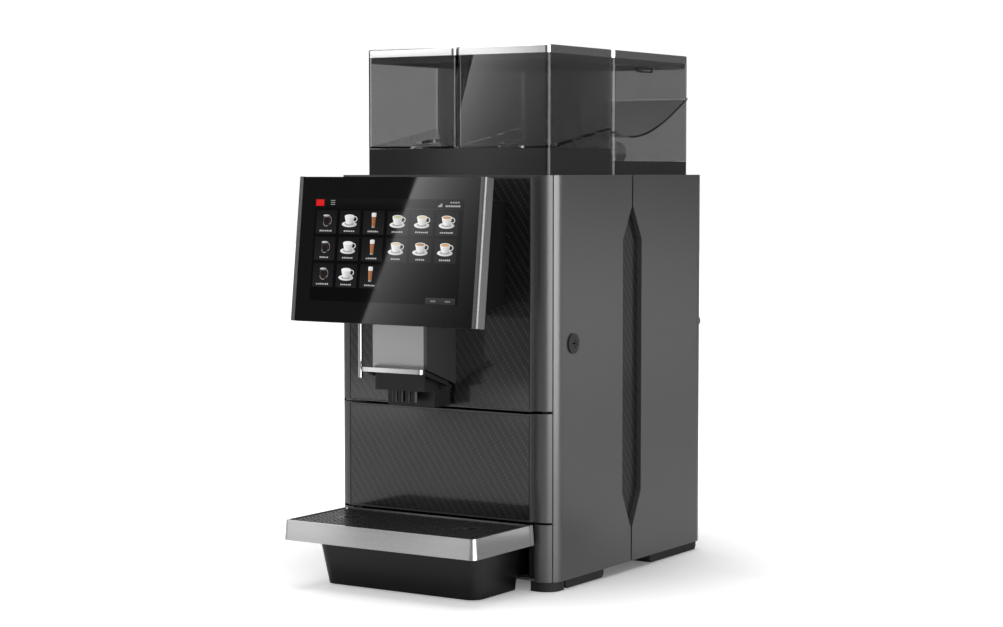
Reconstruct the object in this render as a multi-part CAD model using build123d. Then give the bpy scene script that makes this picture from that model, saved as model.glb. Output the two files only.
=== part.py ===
from build123d import *
import math
import os

os.makedirs("parts", exist_ok=True)

# Frame: +X to the machine's right as its user sees it, +Y to the back, +Z up, millimetres.
# Origin: on the counter, under the middle of the casing.

# ---- casing ----
bodyWidth = 300.0
bodyDepth = 364.0
bodyTop = 467.5
footHeight = 11.5
cornerRadius = 22.0
sheet = 2.0
seamAngle = 48.0          # how far the front pieces wrap round each corner, degrees
seamGap = 1.0
panelProud = 8.5          # the carbon-look panels stand this far in front of the casing
panelInset = 24.5         # each panel edge, from the casing side
panelWall = 1.2
skinThick = 1.2
skinGap = 0.9
doorBottom = 204.3
drawerTop = 201.3
drawerBottom = 79.0
baseTop = 76.5
inlayMid = -4.1           # the joint between front and rear side panels
inlayGap = 3.0
inlayHalfWidth = 22.4
inlayTipInset = (48.1, 33.9)      # from the counter and from the casing top
inlayShoulderInset = (94.0, 75.5)
inlayDepth = 6.0
returnThick = 1.5
coverInset = 28.5         # rear cover edge, from the casing side
spacerHeight = 285.0
spacerInset = 18.5
spacerRadius = 7.5
spacerReach = 8.0

# ---- hinge and lock ----
hingeInset = 12.0         # the pins, from the casing side
hingeSetback = 8.0        # and behind the casing front
pinRadius = 1.75
pinClear = 0.05
armRadius = 2.8
armThick = 2.0
armHeading = 45.0
doorSweep = 6.39          # the door's own corner reaches this far from the pins
postSetback = 22.0        # front posts, behind the casing front
postWidth = 25.0
postInset = 3.0
postDepth = 10.0
railWide = 16.0
upperHingeDrop = 13.5     # upper hinge arm, below the casing top
lockHeight = 278.5
lockSetback = 42.3
lockRadius = 9.0
lockCollar = 11.5
lockBore = 5.05
lockLength = 41.0
camLength = 22.0

# ---- display ----
glassWidth = 240.0
glassHeight = 163.3
screenTilt = 6.68
glassBottomY = -110.2     # measured from the carbon face
glassDrop = 163.7         # glass foot, below the casing top
railWidth = 6.4
screenThick = 16.0
glassThick = 2.0
railRound = 3.0
bracketHalfWidth = 92.9
bracketDrop = (143.5, 28.5)       # bracket foot and head, below the casing top
bracketWall = 2.5

# ---- coffee outlet ----
outletX = -11.5
coverHalfWidth = 37.0
coverReach = 58.4
coverTop = 352.0
ductWidth = 10.0          # hose duct beside the cover
ductReach = 49.0
coverFrontLow = 250.5
coverRearLow = 230.3
coverWall = 2.0
facePlateGap = 4.4        # the bright strip left at the cover's right edge
plateThick = 1.2
nozzleLow = 210.0
nozzleRadius = 4.5
blockRearLow = 206.5
blockFrontLow = 225.6
handleHalfWidth = 41.4
handleReach = 76.5
handleHeight = 249.5
handleBar = 5.0
tubeX = -75.0
tubeReach = 46.0
tubeRadius = 2.7
tubeLow = 236.5
tubeHigh = 330.0
tubeBend = 12.0

# ---- drip tray ----
rimHalfWidth = 130.4
rimFront = 121.3          # in front of the carbon face
rimLow = 54.9
rimHigh = 77.6
rimRadius = 7.0
rimDraft = 4.53
rimTopWall = 2.4
basinTopHalf = 110.0
basinLowHalf = 104.0
basinTopFront = 88.0
basinLowFront = 78.0
basinRadius = 15.0
basinWall = 2.5
basinLow = 1.5
basinInnerHalf = 106.0
basinInnerLow = 18.0
basinDepth = 165.0        # how far the basin reaches in behind the carbon face
gridThick = 3.0
gridDrop = 1.0
slotLength = 9.0
slotWidth = 2.4
slotPitch = 7.2
fingerHole = 10.0
fingerX = 79.0
fingerReach = 57.0        # finger holes, in front of the carbon face

# ---- grounds drawer ----
binHalfWidth = 95.0
binDepth = 198.0
binHeight = 110.0
binWall = 2.5
shelfTop = 84.0
shelfThick = 4.0
bayHalfWidth = 116.0

# ---- hoppers ----
hopperHalfWidth = 125.6
hopperFront = -152.2
hopperSplit = -7.5
hopperRear = 178.9
hopperRise = 137.5        # hopper rims, above the casing top
hopperWall = 2.5
hopperRadius = 5.0
hopperGap = 2.0
bandHeight = 30.5         # band under the bean hoppers
rearBandHeight = 16.5
seatWall = 3.0
lidHeight = 9.0
floorRise = 26.0
throatRadius = 22.0
augerRise = 26.5          # auger axis, above the casing top
augerRadius = 13.5
augerEnd = 62.0
troughRadius = 15.0
troughHigh = 20.0
funnelRise = (51.5, 48.1, 46.7, 54.0, 72.5, 95.5)     # canister floor, front to rear
funnelRun = (0.0, 22.0, 48.0, 92.0, 140.0)
chuteY = 6.0

# ---- works ----
grinderX = 60.0
grinderY = -112.0
grinderRadius = 41.0
grinderDrop = 67.5        # grinder foot, below the casing top
burrRadius = 28.0
motorRadius = 33.0
motorHeight = 78.0
gearMotorRadius = 15.0
gearMotorLength = 40.0
bulkheadY = 38.0
bulkheadThick = 2.0
bowlHeight = 395.0
bowlRadius = 28.0
brewY = -52.0
chamberRadius = 27.0
chamberLow = 215.0
chamberHigh = 296.0
fanX = -60.0
fanHeight = 380.0
fanRadius = 36.0
inletX = -88.0
inletZ = 70.0
waterX = 100.0
drainX = 60.0
waterZ = 46.0
# relays, transformer and connectors on the board: place X and Z, width, height, depth
boardParts = (
    (-105, 330, 26, 30, 22),
    (-70, 335, 30, 22, 14),
    (-100, 270, 34, 20, 18),
    (-55, 262, 20, 40, 10),
)
clear = 0.3

panelFace = -bodyDepth / 2 - panelProud
sideFaceX = bodyWidth / 2
panelHalfWidth = sideFaceX - panelInset
coverHalf = sideFaceX - coverInset
spacerX = sideFaceX - spacerInset
inlayTip = (inlayTipInset[0], bodyTop - inlayTipInset[1])
inlayShoulder = (inlayShoulderInset[0], bodyTop - inlayShoulderInset[1])
hingeX = hingeInset - sideFaceX
hingeY = hingeSetback - bodyDepth / 2
postFront = postSetback - bodyDepth / 2
lockY = lockSetback - bodyDepth / 2
upperArm = bodyTop - upperHingeDrop
glassBottomZ = bodyTop - glassDrop
bracketLow = bodyTop - bracketDrop[0]
bracketHigh = bodyTop - bracketDrop[1]
hopperTop = bodyTop + hopperRise
seatTop = bodyTop + bandHeight
rearSeatTop = bodyTop + rearBandHeight
lidTop = hopperTop + lidHeight
augerHeight = bodyTop + augerRise
augerX = (hopperHalfWidth + hopperGap / 2) / 2
grinderLow = bodyTop - grinderDrop
motorLow = grinderLow - motorHeight
fingerY = panelFace - fingerReach
wide = bodyWidth           # reaches past every side
casingFront = -bodyDepth / 2
casingRear = bodyDepth / 2
seamY = casingFront + cornerRadius * (1 - math.cos(math.radians(seamAngle)))
baseLow = footHeight
plateLow = footHeight + 0.5
plateHigh = plateLow + 2.5
deckLow = bodyTop - sheet


def box(x0, x1, y0, y1, z0, z1):
    """A block between two corners."""
    middle = Pos((x0 + x1) / 2, (y0 + y1) / 2, (z0 + z1) / 2)
    return middle * Box(abs(x1 - x0), abs(y1 - y0), abs(z1 - z0))


def rounded(width, y0, y1, radius, z0, z1, x=0.0):
    """An upright block with rounded vertical edges."""
    outline = Pos(x, (y0 + y1) / 2, z0) * RectangleRounded(width, y1 - y0, radius)
    return extrude(outline, z1 - z0)


def rod(radius, x, y, z0, z1):
    """An upright cylinder."""
    return Pos(x, y, (z0 + z1) / 2) * Cylinder(radius, z1 - z0)


def rodX(radius, x0, x1, y, z):
    """A cylinder along X."""
    return Pos((x0 + x1) / 2, y, z) * Rot(0, 90, 0) * Cylinder(radius, x1 - x0)


def rodY(radius, y0, y1, x, z):
    """A cylinder along Y."""
    return Pos(x, (y0 + y1) / 2, z) * Rot(90, 0, 0) * Cylinder(radius, y1 - y0)


def sideFace(points):
    """A flat face in the YZ plane from a list of (y, z) points."""
    return make_face(Plane.YZ * Polyline(*points, close=True))


def sidePrism(points, x0, x1):
    """A YZ outline carried along X."""
    return Pos(x0, 0, 0) * extrude(sideFace(points), x1 - x0, dir=(1, 0, 0))


def pair(shape):
    """A piece and its mirror image on the other side of the machine."""
    return [shape, mirror(shape, Plane.YZ)]


def casing(z0, z1, y0, y1):
    """The sheet-metal wall of the casing between two heights and two depths."""
    outer = rounded(bodyWidth, casingFront, casingRear, cornerRadius, z0, z1)
    inner = rounded(
        bodyWidth - 2 * sheet,
        casingFront + sheet,
        casingRear - sheet,
        cornerRadius - sheet,
        z0 - 1,
        z1 + 1,
    )
    return (outer - inner) & box(-bodyWidth, bodyWidth, y0, y1, z0, z1)


def proudPan(z0, z1):
    """The shallow metal pan in front of the casing that holds a carbon-look skin."""
    pan = box(-panelHalfWidth, panelHalfWidth, panelFace, casingFront + sheet, z0, z1)
    hollow = box(
        -panelHalfWidth + panelWall + skinGap * 3,
        panelHalfWidth - panelWall - skinGap * 3,
        panelFace + skinThick + 1.5,
        casingFront + sheet + 1,
        z0 + panelWall + 1.5,
        z1 - panelWall - 1.5,
    )
    recess = box(
        -panelHalfWidth + panelWall,
        panelHalfWidth - panelWall,
        panelFace - 1,
        panelFace + skinThick,
        z0 + panelWall,
        z1 - panelWall,
    )
    return pan - hollow - recess


def carbonSkin(z0, z1):
    """The carbon-look skin that lies in the pan's recess."""
    edge = panelWall + skinGap
    return box(
        -panelHalfWidth + edge,
        panelHalfWidth - edge,
        panelFace + 0.1,
        panelFace + skinThick,
        z0 + edge,
        z1 - edge,
    )


# ---------- casing pieces ----------


def basePlate():
    plate = rounded(
        bodyWidth - 2 * sheet - 0.2,
        casingFront + sheet + 0.1,
        casingRear - sheet - 0.1,
        cornerRadius,
        plateLow,
        plateHigh,
    )
    bay = box(-bayHalfWidth, bayHalfWidth, casingFront - 5, panelFace + 12, 0, plateHigh + 1)
    return plate - bay


def footPads():
    """Two moulded blocks and a corner pad on each side, and one block in the middle."""
    feet = []
    for y0, y1 in ((casingFront + 37, casingFront + 123), (casingRear - 130, casingRear - 11)):
        block = box(sideFaceX - 40, sideFaceX - 6, y0, y1, 0, plateLow)
        feet += pair(chamfer(block.edges().filter_by(Axis.X).group_by(Axis.Z)[0], 4))
    corner = rounded(
        bodyWidth - 8, casingFront + 4, casingRear - 4, cornerRadius - 4, 0, plateLow
    )
    feet += pair(corner & box(panelHalfWidth - 7.5, wide, casingFront, casingFront + 30, 0, plateLow))
    middle = box(-30, 30, -30, 30, 0, plateLow)
    feet.append(chamfer(middle.edges().filter_by(Axis.X).group_by(Axis.Z)[0], 4))
    return feet


def spear(grow=0.0):
    """The long hexagon between the side panels, in the YZ plane."""
    low, high = inlayTip
    shoulderLow, shoulderHigh = inlayShoulder
    half = inlayHalfWidth + grow
    tipGrow = grow * 2.0
    return [
        (inlayMid, low - tipGrow),
        (inlayMid + half, shoulderLow - grow * 0.3),
        (inlayMid + half, shoulderHigh + grow * 0.3),
        (inlayMid, high + tipGrow),
        (inlayMid - half, shoulderHigh + grow * 0.3),
        (inlayMid - half, shoulderLow - grow * 0.3),
    ]


def sidePanel(rear):
    """One half of the right side panel, with the return edges round the inlay."""
    half = bodyWidth / 2
    middle = inlayMid + (inlayGap / 2 if rear else -inlayGap / 2)
    if rear:
        part = casing(baseLow, bodyTop, middle, casingRear)
        part &= box(coverHalf + 0.5, wide, middle, bodyDepth, 0, bodyTop + 1)
        edge = (middle, middle + returnThick)
        keep = box(0, half, middle, casingRear, 0, bodyTop)
    else:
        part = casing(baseLow, bodyTop, seamY + seamGap, middle)
        part &= box(sideFaceX / 2, wide, -bodyDepth, middle, 0, bodyTop + 1)
        edge = (middle - returnThick, middle)
        keep = box(0, half, casingFront, middle, 0, bodyTop)
    inner = half - inlayDepth
    rim = sidePrism(spear(returnThick), inner, half) & keep
    flange = box(inner, half - sheet, edge[0], edge[1], plateHigh + 0.2, deckLow - 0.2)
    part = part + rim + flange - sidePrism(spear(), inner - 1, half + 1)
    if rear:
        knob = rodY(spacerRadius, casingRear - sheet, casingRear + spacerReach, spacerX, spacerHeight)
        return part + knob
    return part


def sidePanelFrontRight():
    return sidePanel(False) - rodX(lockRadius + clear, sideFaceX - 10, sideFaceX + 10, lockY, lockHeight)


def sidePanelFrontLeft():
    """The left panel's front edge is coped so that the door's corner turns past it."""
    sweep = rod(doorSweep + 0.5, hingeX, hingeY, 0, bodyTop + 1)
    return mirror(sidePanel(False), Plane.YZ) - sweep


def sideInlays():
    """The recessed carbon-look strip behind each side's spear-shaped window."""
    face = bodyWidth / 2 - inlayDepth
    strip = sidePrism(spear(5.0), face - 1.6, face)
    tail = box(face - 1.6, face, inlayMid - 7, inlayMid + 7, plateHigh + 0.5, deckLow - 0.5)
    return pair(strip + tail)


def backCover():
    """The flat rear cover, with vents, the fan's spider and the service openings."""
    cover = box(-coverHalf, coverHalf, casingRear - sheet, casingRear, baseLow, bodyTop)
    for row in range(9):
        for side in (-1, 1):
            slot = box(-34, 34, casingRear - 5, casingRear + 5, -2, 2)
            cover -= Pos(side * 62, 0, 120 + 18 * row) * slot
    cover -= rodY(fanRadius + 2, casingRear - 5, casingRear + 5, fanX, fanHeight)
    ring = rodY(fanRadius + 5, casingRear - 14, casingRear, fanX, fanHeight)
    ring -= rodY(fanRadius + 2, casingRear - 15, casingRear + 1, fanX, fanHeight)
    spider = rodY(13, casingRear - 3, casingRear, fanX, fanHeight)
    for turn in (0, 60, 120):
        bar = Pos(fanX, casingRear - 1.5, fanHeight) * Rot(0, turn, 0) * Box(2 * fanRadius + 5, 3, 4)
        spider += bar
    spider += rodY(3, casingRear - 13, casingRear - 2, fanX, fanHeight)
    cover = cover + ring + spider
    cover -= box(*inletHole())
    for x in (waterX, drainX):
        cover -= rodY(14 + clear, casingRear - 5, casingRear + 5, x, waterZ)
    return cover


def topDeck():
    """The deck that closes the casing and carries the hoppers."""
    deck = rounded(
        bodyWidth - 2 * sheet - 0.2, casingFront + sheet, casingRear - sheet, cornerRadius, deckLow, bodyTop
    )
    deck &= box(-wide, wide, hingeY + 7.5, casingRear - sheet - 0.1, 0, bodyTop + 1)
    for side in (-1, 1):
        deck -= rod(throatRadius + 0.5, side * grinderX, grinderY, deckLow - 1, bodyTop + 1)
        deck -= rod(11, side * augerX, chuteY, deckLow - 1, bodyTop + 1)
    return deck


def baseCorners():
    corner = casing(baseLow, baseTop, casingFront - 1, seamY)
    corner &= box(panelHalfWidth, wide, -bodyDepth, casingFront + 32, 0, baseTop)
    corner += box(
        panelHalfWidth, panelHalfWidth + 1.5, casingFront, casingFront + 14, plateHigh + 0.2, baseTop
    )
    return pair(corner)


def trayBay():
    """The black inner moulding: tray bay below, drawer shelf above."""
    wall = 2.5
    outer = bayHalfWidth + wall
    front = casingFront + 4
    shelf = box(-outer, outer, front, bulkheadY, shelfTop - shelfThick, shelfTop)
    shelf -= box(-60, 60, -80, -20, 0, 100)
    walls = box(bayHalfWidth, outer, front, bulkheadY, plateHigh, shelfTop)
    cheek = box(outer, panelHalfWidth, front, front + 2, plateHigh, shelfTop - 6)
    runners = box(binHalfWidth + clear, binHalfWidth + 3.5, front, 30, shelfTop, shelfTop + 6)
    ledge = box(
        basinInnerHalf - 10, outer, front, panelFace + basinDepth, plateHigh, basinInnerLow - clear
    )
    half = walls + cheek + runners + ledge
    return shelf + half + mirror(half, Plane.YZ)


# ---------- inner frame, hinge and lock ----------


def innerFrame():
    """Bulkhead, two front posts and the rails between them, welded together."""
    side0 = sideFaceX - inlayDepth - 2.0
    outer = sideFaceX - postInset
    plate = box(-side0, side0, bulkheadY, bulkheadY + bulkheadThick, plateHigh, deckLow)
    plate -= rodY(4.5, bulkheadY - 5, bulkheadY + 5, 0, bowlHeight)
    plate -= box(40, 70, bulkheadY - 5, bulkheadY + 5, 250, 280)
    frame = plate
    for side in (-1, 1):
        post = box(outer - postWidth, outer, postFront, postFront + postDepth, plateHigh, deckLow)
        railInside = sideFaceX - railWide
        postBack = postFront + postDepth
        rail = box(railInside, side0, postBack, bulkheadY, drawerTop + 1.7, drawerTop + 13.7)
        high = box(railInside, side0, postBack, bulkheadY, deckLow - 25.5, deckLow - 13.5)
        group = post + rail + high
        frame += group if side > 0 else mirror(group, Plane.YZ)
    return frame


def hingeArm(z0, pinLow, pinHigh):
    """A flat arm from the left post to the door's pin."""
    heading = math.radians(armHeading)
    reach = (postFront - 1 - hingeY) / math.sin(heading)
    end = (hingeX + reach * math.cos(heading), hingeY + reach * math.sin(heading))
    middle = ((hingeX + end[0]) / 2, (hingeY + end[1]) / 2)
    z1 = z0 + armThick
    bar = Pos(*middle, (z0 + z1) / 2) * Rot(0, 0, armHeading) * Box(reach, 2 * armRadius, armThick)
    arm = bar + rod(armRadius, hingeX, hingeY, z0, z1) + rod(pinRadius, hingeX, hingeY, pinLow, pinHigh)
    arm &= box(hingeX - 10, hingeX + 38, hingeY - 26, postFront - 0.2, z0 - 20, z1 + 20)
    return arm + box(hingeX + 1, hingeX + 15.5, postFront - 2, postFront, z0 - 8, z1 + 6)


def hingeArms():
    low = hingeArm(drawerTop + 0.5, drawerTop + 0.5, doorBottom + 12)
    high = hingeArm(upperArm, upperArm - 12, upperArm + armThick)
    return [low, high]


def lockHousing():
    face = bodyWidth / 2
    body = rodX(lockRadius, face - lockLength, face + 0.5, lockY, lockHeight)
    body += rodX(lockCollar, face, face + 1.6, lockY, lockHeight)
    return body - rodX(lockBore, face - lockLength - 1, face + 3, lockY, lockHeight)


def lockBarrel():
    """The turning plug, its keyway and the cam behind it."""
    face = bodyWidth / 2
    plug = rodX(lockBore - pinClear, face - lockLength - 3, face + 1.2, lockY, lockHeight)
    plug -= box(face - 8, face + 3, lockY - 3, lockY + 3, lockHeight - 0.8, lockHeight + 0.8)
    x = face - lockLength - 3
    cam = box(x, x + 2.5, lockY - camLength, lockY + 4, lockHeight - 4, lockHeight + 4)
    return plug + cam


# ---------- door ----------


def door():
    """The door's sheet-metal frame with its pan, top edge and hinge bosses."""
    shell = casing(doorBottom, bodyTop, casingFront - 1, seamY)
    inner = rounded(
        bodyWidth - 2 * sheet - 2.4, casingFront + 1, casingRear, cornerRadius - 1, deckLow, bodyTop
    )
    lip = inner & box(hingeX - 2, wide, casingFront, hingeY + 6.5, deckLow, bodyTop)
    frame = shell + lip + proudPan(doorBottom, bodyTop - 1.5)
    for low, high in ((doorBottom + 2, doorBottom + 13), (upperArm - 13, upperArm - 0.6)):
        frame += rod(4.0, hingeX, hingeY, low, high)
    frame -= rod(pinRadius + pinClear, hingeX, hingeY, doorBottom - 1, doorBottom + 13)
    frame -= rod(pinRadius + pinClear, hingeX, hingeY, upperArm - 13, upperArm - 0.5)
    frame -= rod(armRadius + 1.0, hingeX, hingeY, upperArm - 0.6, upperArm + 3)
    return frame


def doorCarbonPanel():
    return carbonSkin(doorBottom, bodyTop - 1.5)


def doorLiner():
    """The inner door moulding, with the hook that the lock's cam catches."""
    half = panelHalfWidth - 3.5
    front = casingFront + sheet
    liner = box(-half, half, front, front + 11, doorBottom + 3, deckLow - 3)
    liner -= box(-half + 3, half - 3, front - 1, front + 8, doorBottom + 6, deckLow - 6)
    x = bodyWidth / 2 - lockLength - 3 - 4.5
    z = lockHeight + 10
    hook = box(x - 2.5, x, front + 10, lockY + 9, z, z + 10)
    hook += box(x, x + 7.5, lockY + 6.5, lockY + 9, z, z + 10)
    return liner + hook


def screenPlane(depth):
    """The plane a given depth behind the glass face; x across, y up the glass."""
    lean = math.radians(screenTilt)
    up = (0, math.sin(lean), math.cos(lean))
    back = (0, math.cos(lean), -math.sin(lean))
    origin = (
        0,
        panelFace + glassBottomY + back[1] * depth,
        glassBottomZ + back[2] * depth,
    )
    return Plane(origin=origin, x_dir=(1, 0, 0), z_dir=(0, -up[2], up[1]))


def screenSlab(x0, x1, v0, v1, d0, d1):
    """A block in the leaning frame of the display."""
    face = screenPlane(d1) * Pos((x0 + x1) / 2, (v0 + v1) / 2) * Rectangle(x1 - x0, v1 - v0)
    return extrude(face, d1 - d0)


def screenHousing():
    """The display's back shell with a rounded rail along each side."""
    half = glassWidth / 2
    shell = screenSlab(-half, half, 0, glassHeight, glassThick, screenThick)
    rail = screenSlab(half, half + railWidth, 0, glassHeight, -0.6, screenThick + 1)
    long = rail.edges().sort_by(Axis.Z)[4:8]
    outer = [e for e in long if e.center().X > half + 1]
    rail = fillet(outer, railRound)
    return shell + rail + mirror(rail, Plane.YZ)


def screenGlass():
    half = glassWidth / 2 - 0.3
    return screenSlab(-half, half, 0.3, glassHeight - 0.3, 0, glassThick)


def screenBracket():
    """A hollow wedge from the door's panel to the display's back, open below."""
    lean = math.tan(math.radians(screenTilt))
    back = screenPlane(screenThick).origin
    low = bracketLow - 18

    def wall(z, gap):
        return back.Y + (z - back.Z) * lean + gap

    def outline(inset):
        return [
            (panelFace, bracketHigh - inset),
            (panelFace, bracketLow - 40 * (inset > 0)),
            (wall(low, inset), low - 40 * (inset > 0)),
            (wall(bracketHigh, inset), bracketHigh - inset),
        ]
    half = bracketHalfWidth
    outer = sidePrism(outline(0), -half, half)
    inner = sidePrism(outline(bracketWall), -half + bracketWall, half - bracketWall)
    return outer - inner


def coverOutline(inset):
    """The outlet cover from the side: its lower edge rises towards the front."""
    face = panelFace - coverReach
    drop = 30 * (inset > 0)
    return [
        (panelFace, coverTop - inset),
        (panelFace, coverRearLow - drop),
        (face + inset, coverFrontLow - drop),
        (face + inset, coverTop - inset),
    ]


def spoutCover():
    """The fixed tunnel that the nozzle block slides in."""
    x0 = outletX - coverHalfWidth
    x1 = outletX + coverHalfWidth
    outer = sidePrism(coverOutline(0), x0, x1)
    inner = sidePrism(coverOutline(coverWall + 1.2), x0 + coverWall, x1 - coverWall)
    cover = outer - inner
    face = panelFace - coverReach
    window = box(x0 - 1, x1 - facePlateGap, face - 1, face + plateThick, coverFrontLow - 1, coverTop + 1)
    rail = rod(4, outletX, panelFace - 14, coverRearLow + 8, coverTop - coverWall - 1)
    foot = box(outletX - 3, outletX + 3, panelFace - 14, panelFace, coverTop - 20, coverTop - coverWall - 1)
    low = box(outletX - 3, outletX + 3, panelFace - 14, panelFace, coverRearLow + 8, coverRearLow + 14)
    ductFront = panelFace - ductReach
    ductBack = panelFace + ductReach
    duct = rounded(2 * ductWidth, ductFront, ductBack, ductWidth / 2, coverFrontLow, coverTop - 6, x0)
    duct &= box(x0 - ductWidth, x0, panelFace - bodyDepth, panelFace, 0, bodyTop)
    return cover - window + rail + foot + low + duct


def spoutFacePlate():
    """The satin plate on the front of the cover."""
    x0 = outletX - coverHalfWidth
    x1 = outletX + coverHalfWidth - facePlateGap
    face = panelFace - coverReach
    return box(x0, x1, face, face + plateThick, coverFrontLow, coverTop)


def hotWaterTube():
    """A bright tube that drops from the door panel's upper part, straight down."""
    y = panelFace - tubeReach
    foot = (tubeX, y, tubeLow)
    bend = (tubeX, y, tubeHigh)
    path = FilletPolyline(foot, bend, (tubeX, panelFace, tubeHigh), radius=tubeBend)
    ring = Pos(tubeX, y, tubeLow) * Circle(tubeRadius)
    bore = Pos(tubeX, y, tubeLow) * Circle(tubeRadius - 0.7)
    tube = sweep(ring, path) - sweep(bore, path)
    flange = rodY(7, panelFace - 2.5, panelFace, tubeX, tubeHigh)
    flange -= rodY(tubeRadius, panelFace - 3, panelFace + 1, tubeX, tubeHigh)
    return tube + flange


# ---------- sliding outlet ----------


def nozzleBlock():
    """The sliding block: a front hood, a lower rear housing and the stem on its rail."""
    half = coverHalfWidth - coverWall - 1.0
    x0 = outletX - half
    x1 = outletX + half
    face = panelFace - coverReach
    nose = sidePrism(
        [
            (face + 0.5, blockFrontLow),
            (panelFace - 4, blockFrontLow),
            (panelFace - 4, coverRearLow - 0.6),
            (face + 0.5, coverFrontLow - 0.8),
        ],
        x0,
        x1,
    )
    rear = box(x0 + 2, x1 - 2, panelFace - 36, panelFace - 4, blockRearLow, blockFrontLow)
    stem = box(outletX - 12, outletX + 12, panelFace - 24, panelFace - 5, coverRearLow - 6, 343)
    block = nose + rear + stem
    channel = rod(4 + clear, outletX, panelFace - 14, blockRearLow + 6, 350)
    mouth = box(outletX - 3 - clear, outletX + 3 + clear, panelFace - 14, panelFace, blockRearLow + 6, 350)
    return block - channel - mouth


def coffeeNozzles():
    """Four short outlets in a row and a milk outlet behind them."""
    top = blockFrontLow
    group = []
    for x, y in ((-13, -48), (13, -48), (-4.8, -48), (4.8, -48)):
        pipe = rod(nozzleRadius - 0.5, outletX + x, panelFace + y, nozzleLow + 2, top)
        bore = rod(nozzleRadius - 2, outletX + x, panelFace + y, nozzleLow + 1, top - 3)
        group.append(pipe - bore)
    return group


def spoutHandle():
    """The bright U-shaped pull, with legs that slope back under the cover's edge."""
    inner = handleHalfWidth - handleBar
    front = panelFace - handleReach
    bar = box(
        outletX - handleHalfWidth,
        outletX + handleHalfWidth,
        front,
        front + handleBar,
        handleHeight - handleBar / 2,
        handleHeight + handleBar / 2,
    )
    bar = fillet(bar.edges().filter_by(Axis.Z).group_by(Axis.Y)[0], 4)
    slope = (coverFrontLow - coverRearLow) / coverReach
    rear = panelFace - 22
    drop = (rear - front - handleBar) * slope
    top = handleHeight + handleBar / 2
    leg = sidePrism(
        [
            (front + handleBar - 0.5, top),
            (front + handleBar - 0.5, top - handleBar),
            (rear, top - drop - handleBar),
            (rear, top - drop),
        ],
        outletX + inner + 0.9,
        outletX + handleHalfWidth,
    )
    z = top - drop - handleBar / 2
    joint = box(
        outletX + coverHalfWidth - coverWall - 1.0,
        outletX + handleHalfWidth,
        rear - 8,
        rear,
        blockFrontLow + 1,
        z - 2,
    )
    leg += joint
    mid = Plane.YZ.offset(outletX)
    return bar + leg + mirror(leg, mid)


# ---------- grounds drawer ----------


def drawerFront():
    return casing(drawerBottom, drawerTop, casingFront - 1, seamY) + proudPan(drawerBottom + 1, drawerTop)


def drawerCarbonPanel():
    return carbonSkin(drawerBottom + 1, drawerTop)


def groundsBin():
    """The open bin fixed behind the drawer front."""
    y0 = casingFront + sheet
    low = shelfTop + clear
    block = rounded(2 * binHalfWidth, y0, y0 + binDepth, 6, low, low + binHeight)
    inner = rounded(
        2 * (binHalfWidth - binWall),
        y0 + binWall,
        y0 + binDepth - binWall,
        4,
        low + binWall,
        low + binHeight + 1,
    )
    return block - inner


# ---------- drip tray ----------


def dripTrayRim():
    y0 = panelFace - rimFront
    outline = Pos(0, (y0 - 150) / 2, rimLow) * RectangleRounded(2 * rimHalfWidth, -150 - y0, rimRadius)
    outer = extrude(outline, rimHigh - rimLow, taper=rimDraft)
    shift = (rimHigh - rimLow) * math.tan(math.radians(rimDraft))
    half = rimHalfWidth - shift - rimTopWall
    rear = panelFace - 0.5
    inner = rounded(2 * half, y0 + shift + rimTopWall, rear - 3.5, rimRadius - 2, rimLow - 1, rimHigh + 1)
    rim = (outer & box(-200, 200, -400, rear, 0, 100)) - inner
    ledge = rounded(2 * half + 2, y0 + shift + 1.4, rear - 2.5, rimRadius - 2, gridLow() - 2, gridLow())
    ledge -= rounded(2 * half - 8, y0 + shift + rimTopWall + 4, rear - 7.5, 4, 0, 100)
    return rim + ledge


def gridLow():
    return rimHigh - gridDrop - gridThick


def dripTrayBasin():
    """The tapered catch basin, with a shallower part that reaches in under the drawer."""
    rear = panelFace + 2.0
    top = rimLow
    foot = Pos(0, (panelFace - basinLowFront + rear + 20) / 2, basinLow) * RectangleRounded(
        2 * basinLowHalf, rear + 20 - panelFace + basinLowFront, basinRadius
    )
    head = Pos(0, (panelFace - basinTopFront + rear + 20) / 2, top) * RectangleRounded(
        2 * basinTopHalf, rear + 20 - panelFace + basinTopFront, basinRadius
    )
    w = basinWall
    footIn = Pos(0, (panelFace - basinLowFront + rear + 20) / 2, basinLow + w) * RectangleRounded(
        2 * (basinLowHalf - w), rear + 20 - panelFace + basinLowFront - 2 * w, basinRadius - w
    )
    headIn = Pos(0, (panelFace - basinTopFront + rear + 20) / 2, top + 0.1) * RectangleRounded(
        2 * (basinTopHalf - w), rear + 20 - panelFace + basinTopFront - 2 * w, basinRadius - w
    )
    cut = box(-200, 200, -400, rear, -5, 100)
    outer = loft([foot, head]) & cut
    deep = panelFace + basinDepth
    half = basinInnerHalf
    tongue = box(-half, half, rear - w, deep, basinInnerLow, top)
    back = box(-half, half, rear - w, rear, basinLow, top)
    solid = outer + tongue + (back & box(-basinLowHalf, basinLowHalf, -400, 0, 0, 100))
    solid -= loft([footIn, headIn]) & box(-200, 200, -400, rear - w, -5, 100)
    solid -= box(-half + w, half - w, rear - 2 * w, deep - w, basinInnerLow + w, top + 1)
    pads = [rod(6, side * 80, y, 0, basinLow + 1) for side in (-1, 1) for y in (-250, -205)]
    return solid + pads[0] + pads[1] + pads[2] + pads[3]


def gridOutline():
    y0 = panelFace - rimFront
    shift = (rimHigh - rimLow) * math.tan(math.radians(rimDraft))
    half = rimHalfWidth - shift - rimTopWall - clear
    return half, y0 + shift + rimTopWall + clear, panelFace - 4.0 - clear


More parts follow.
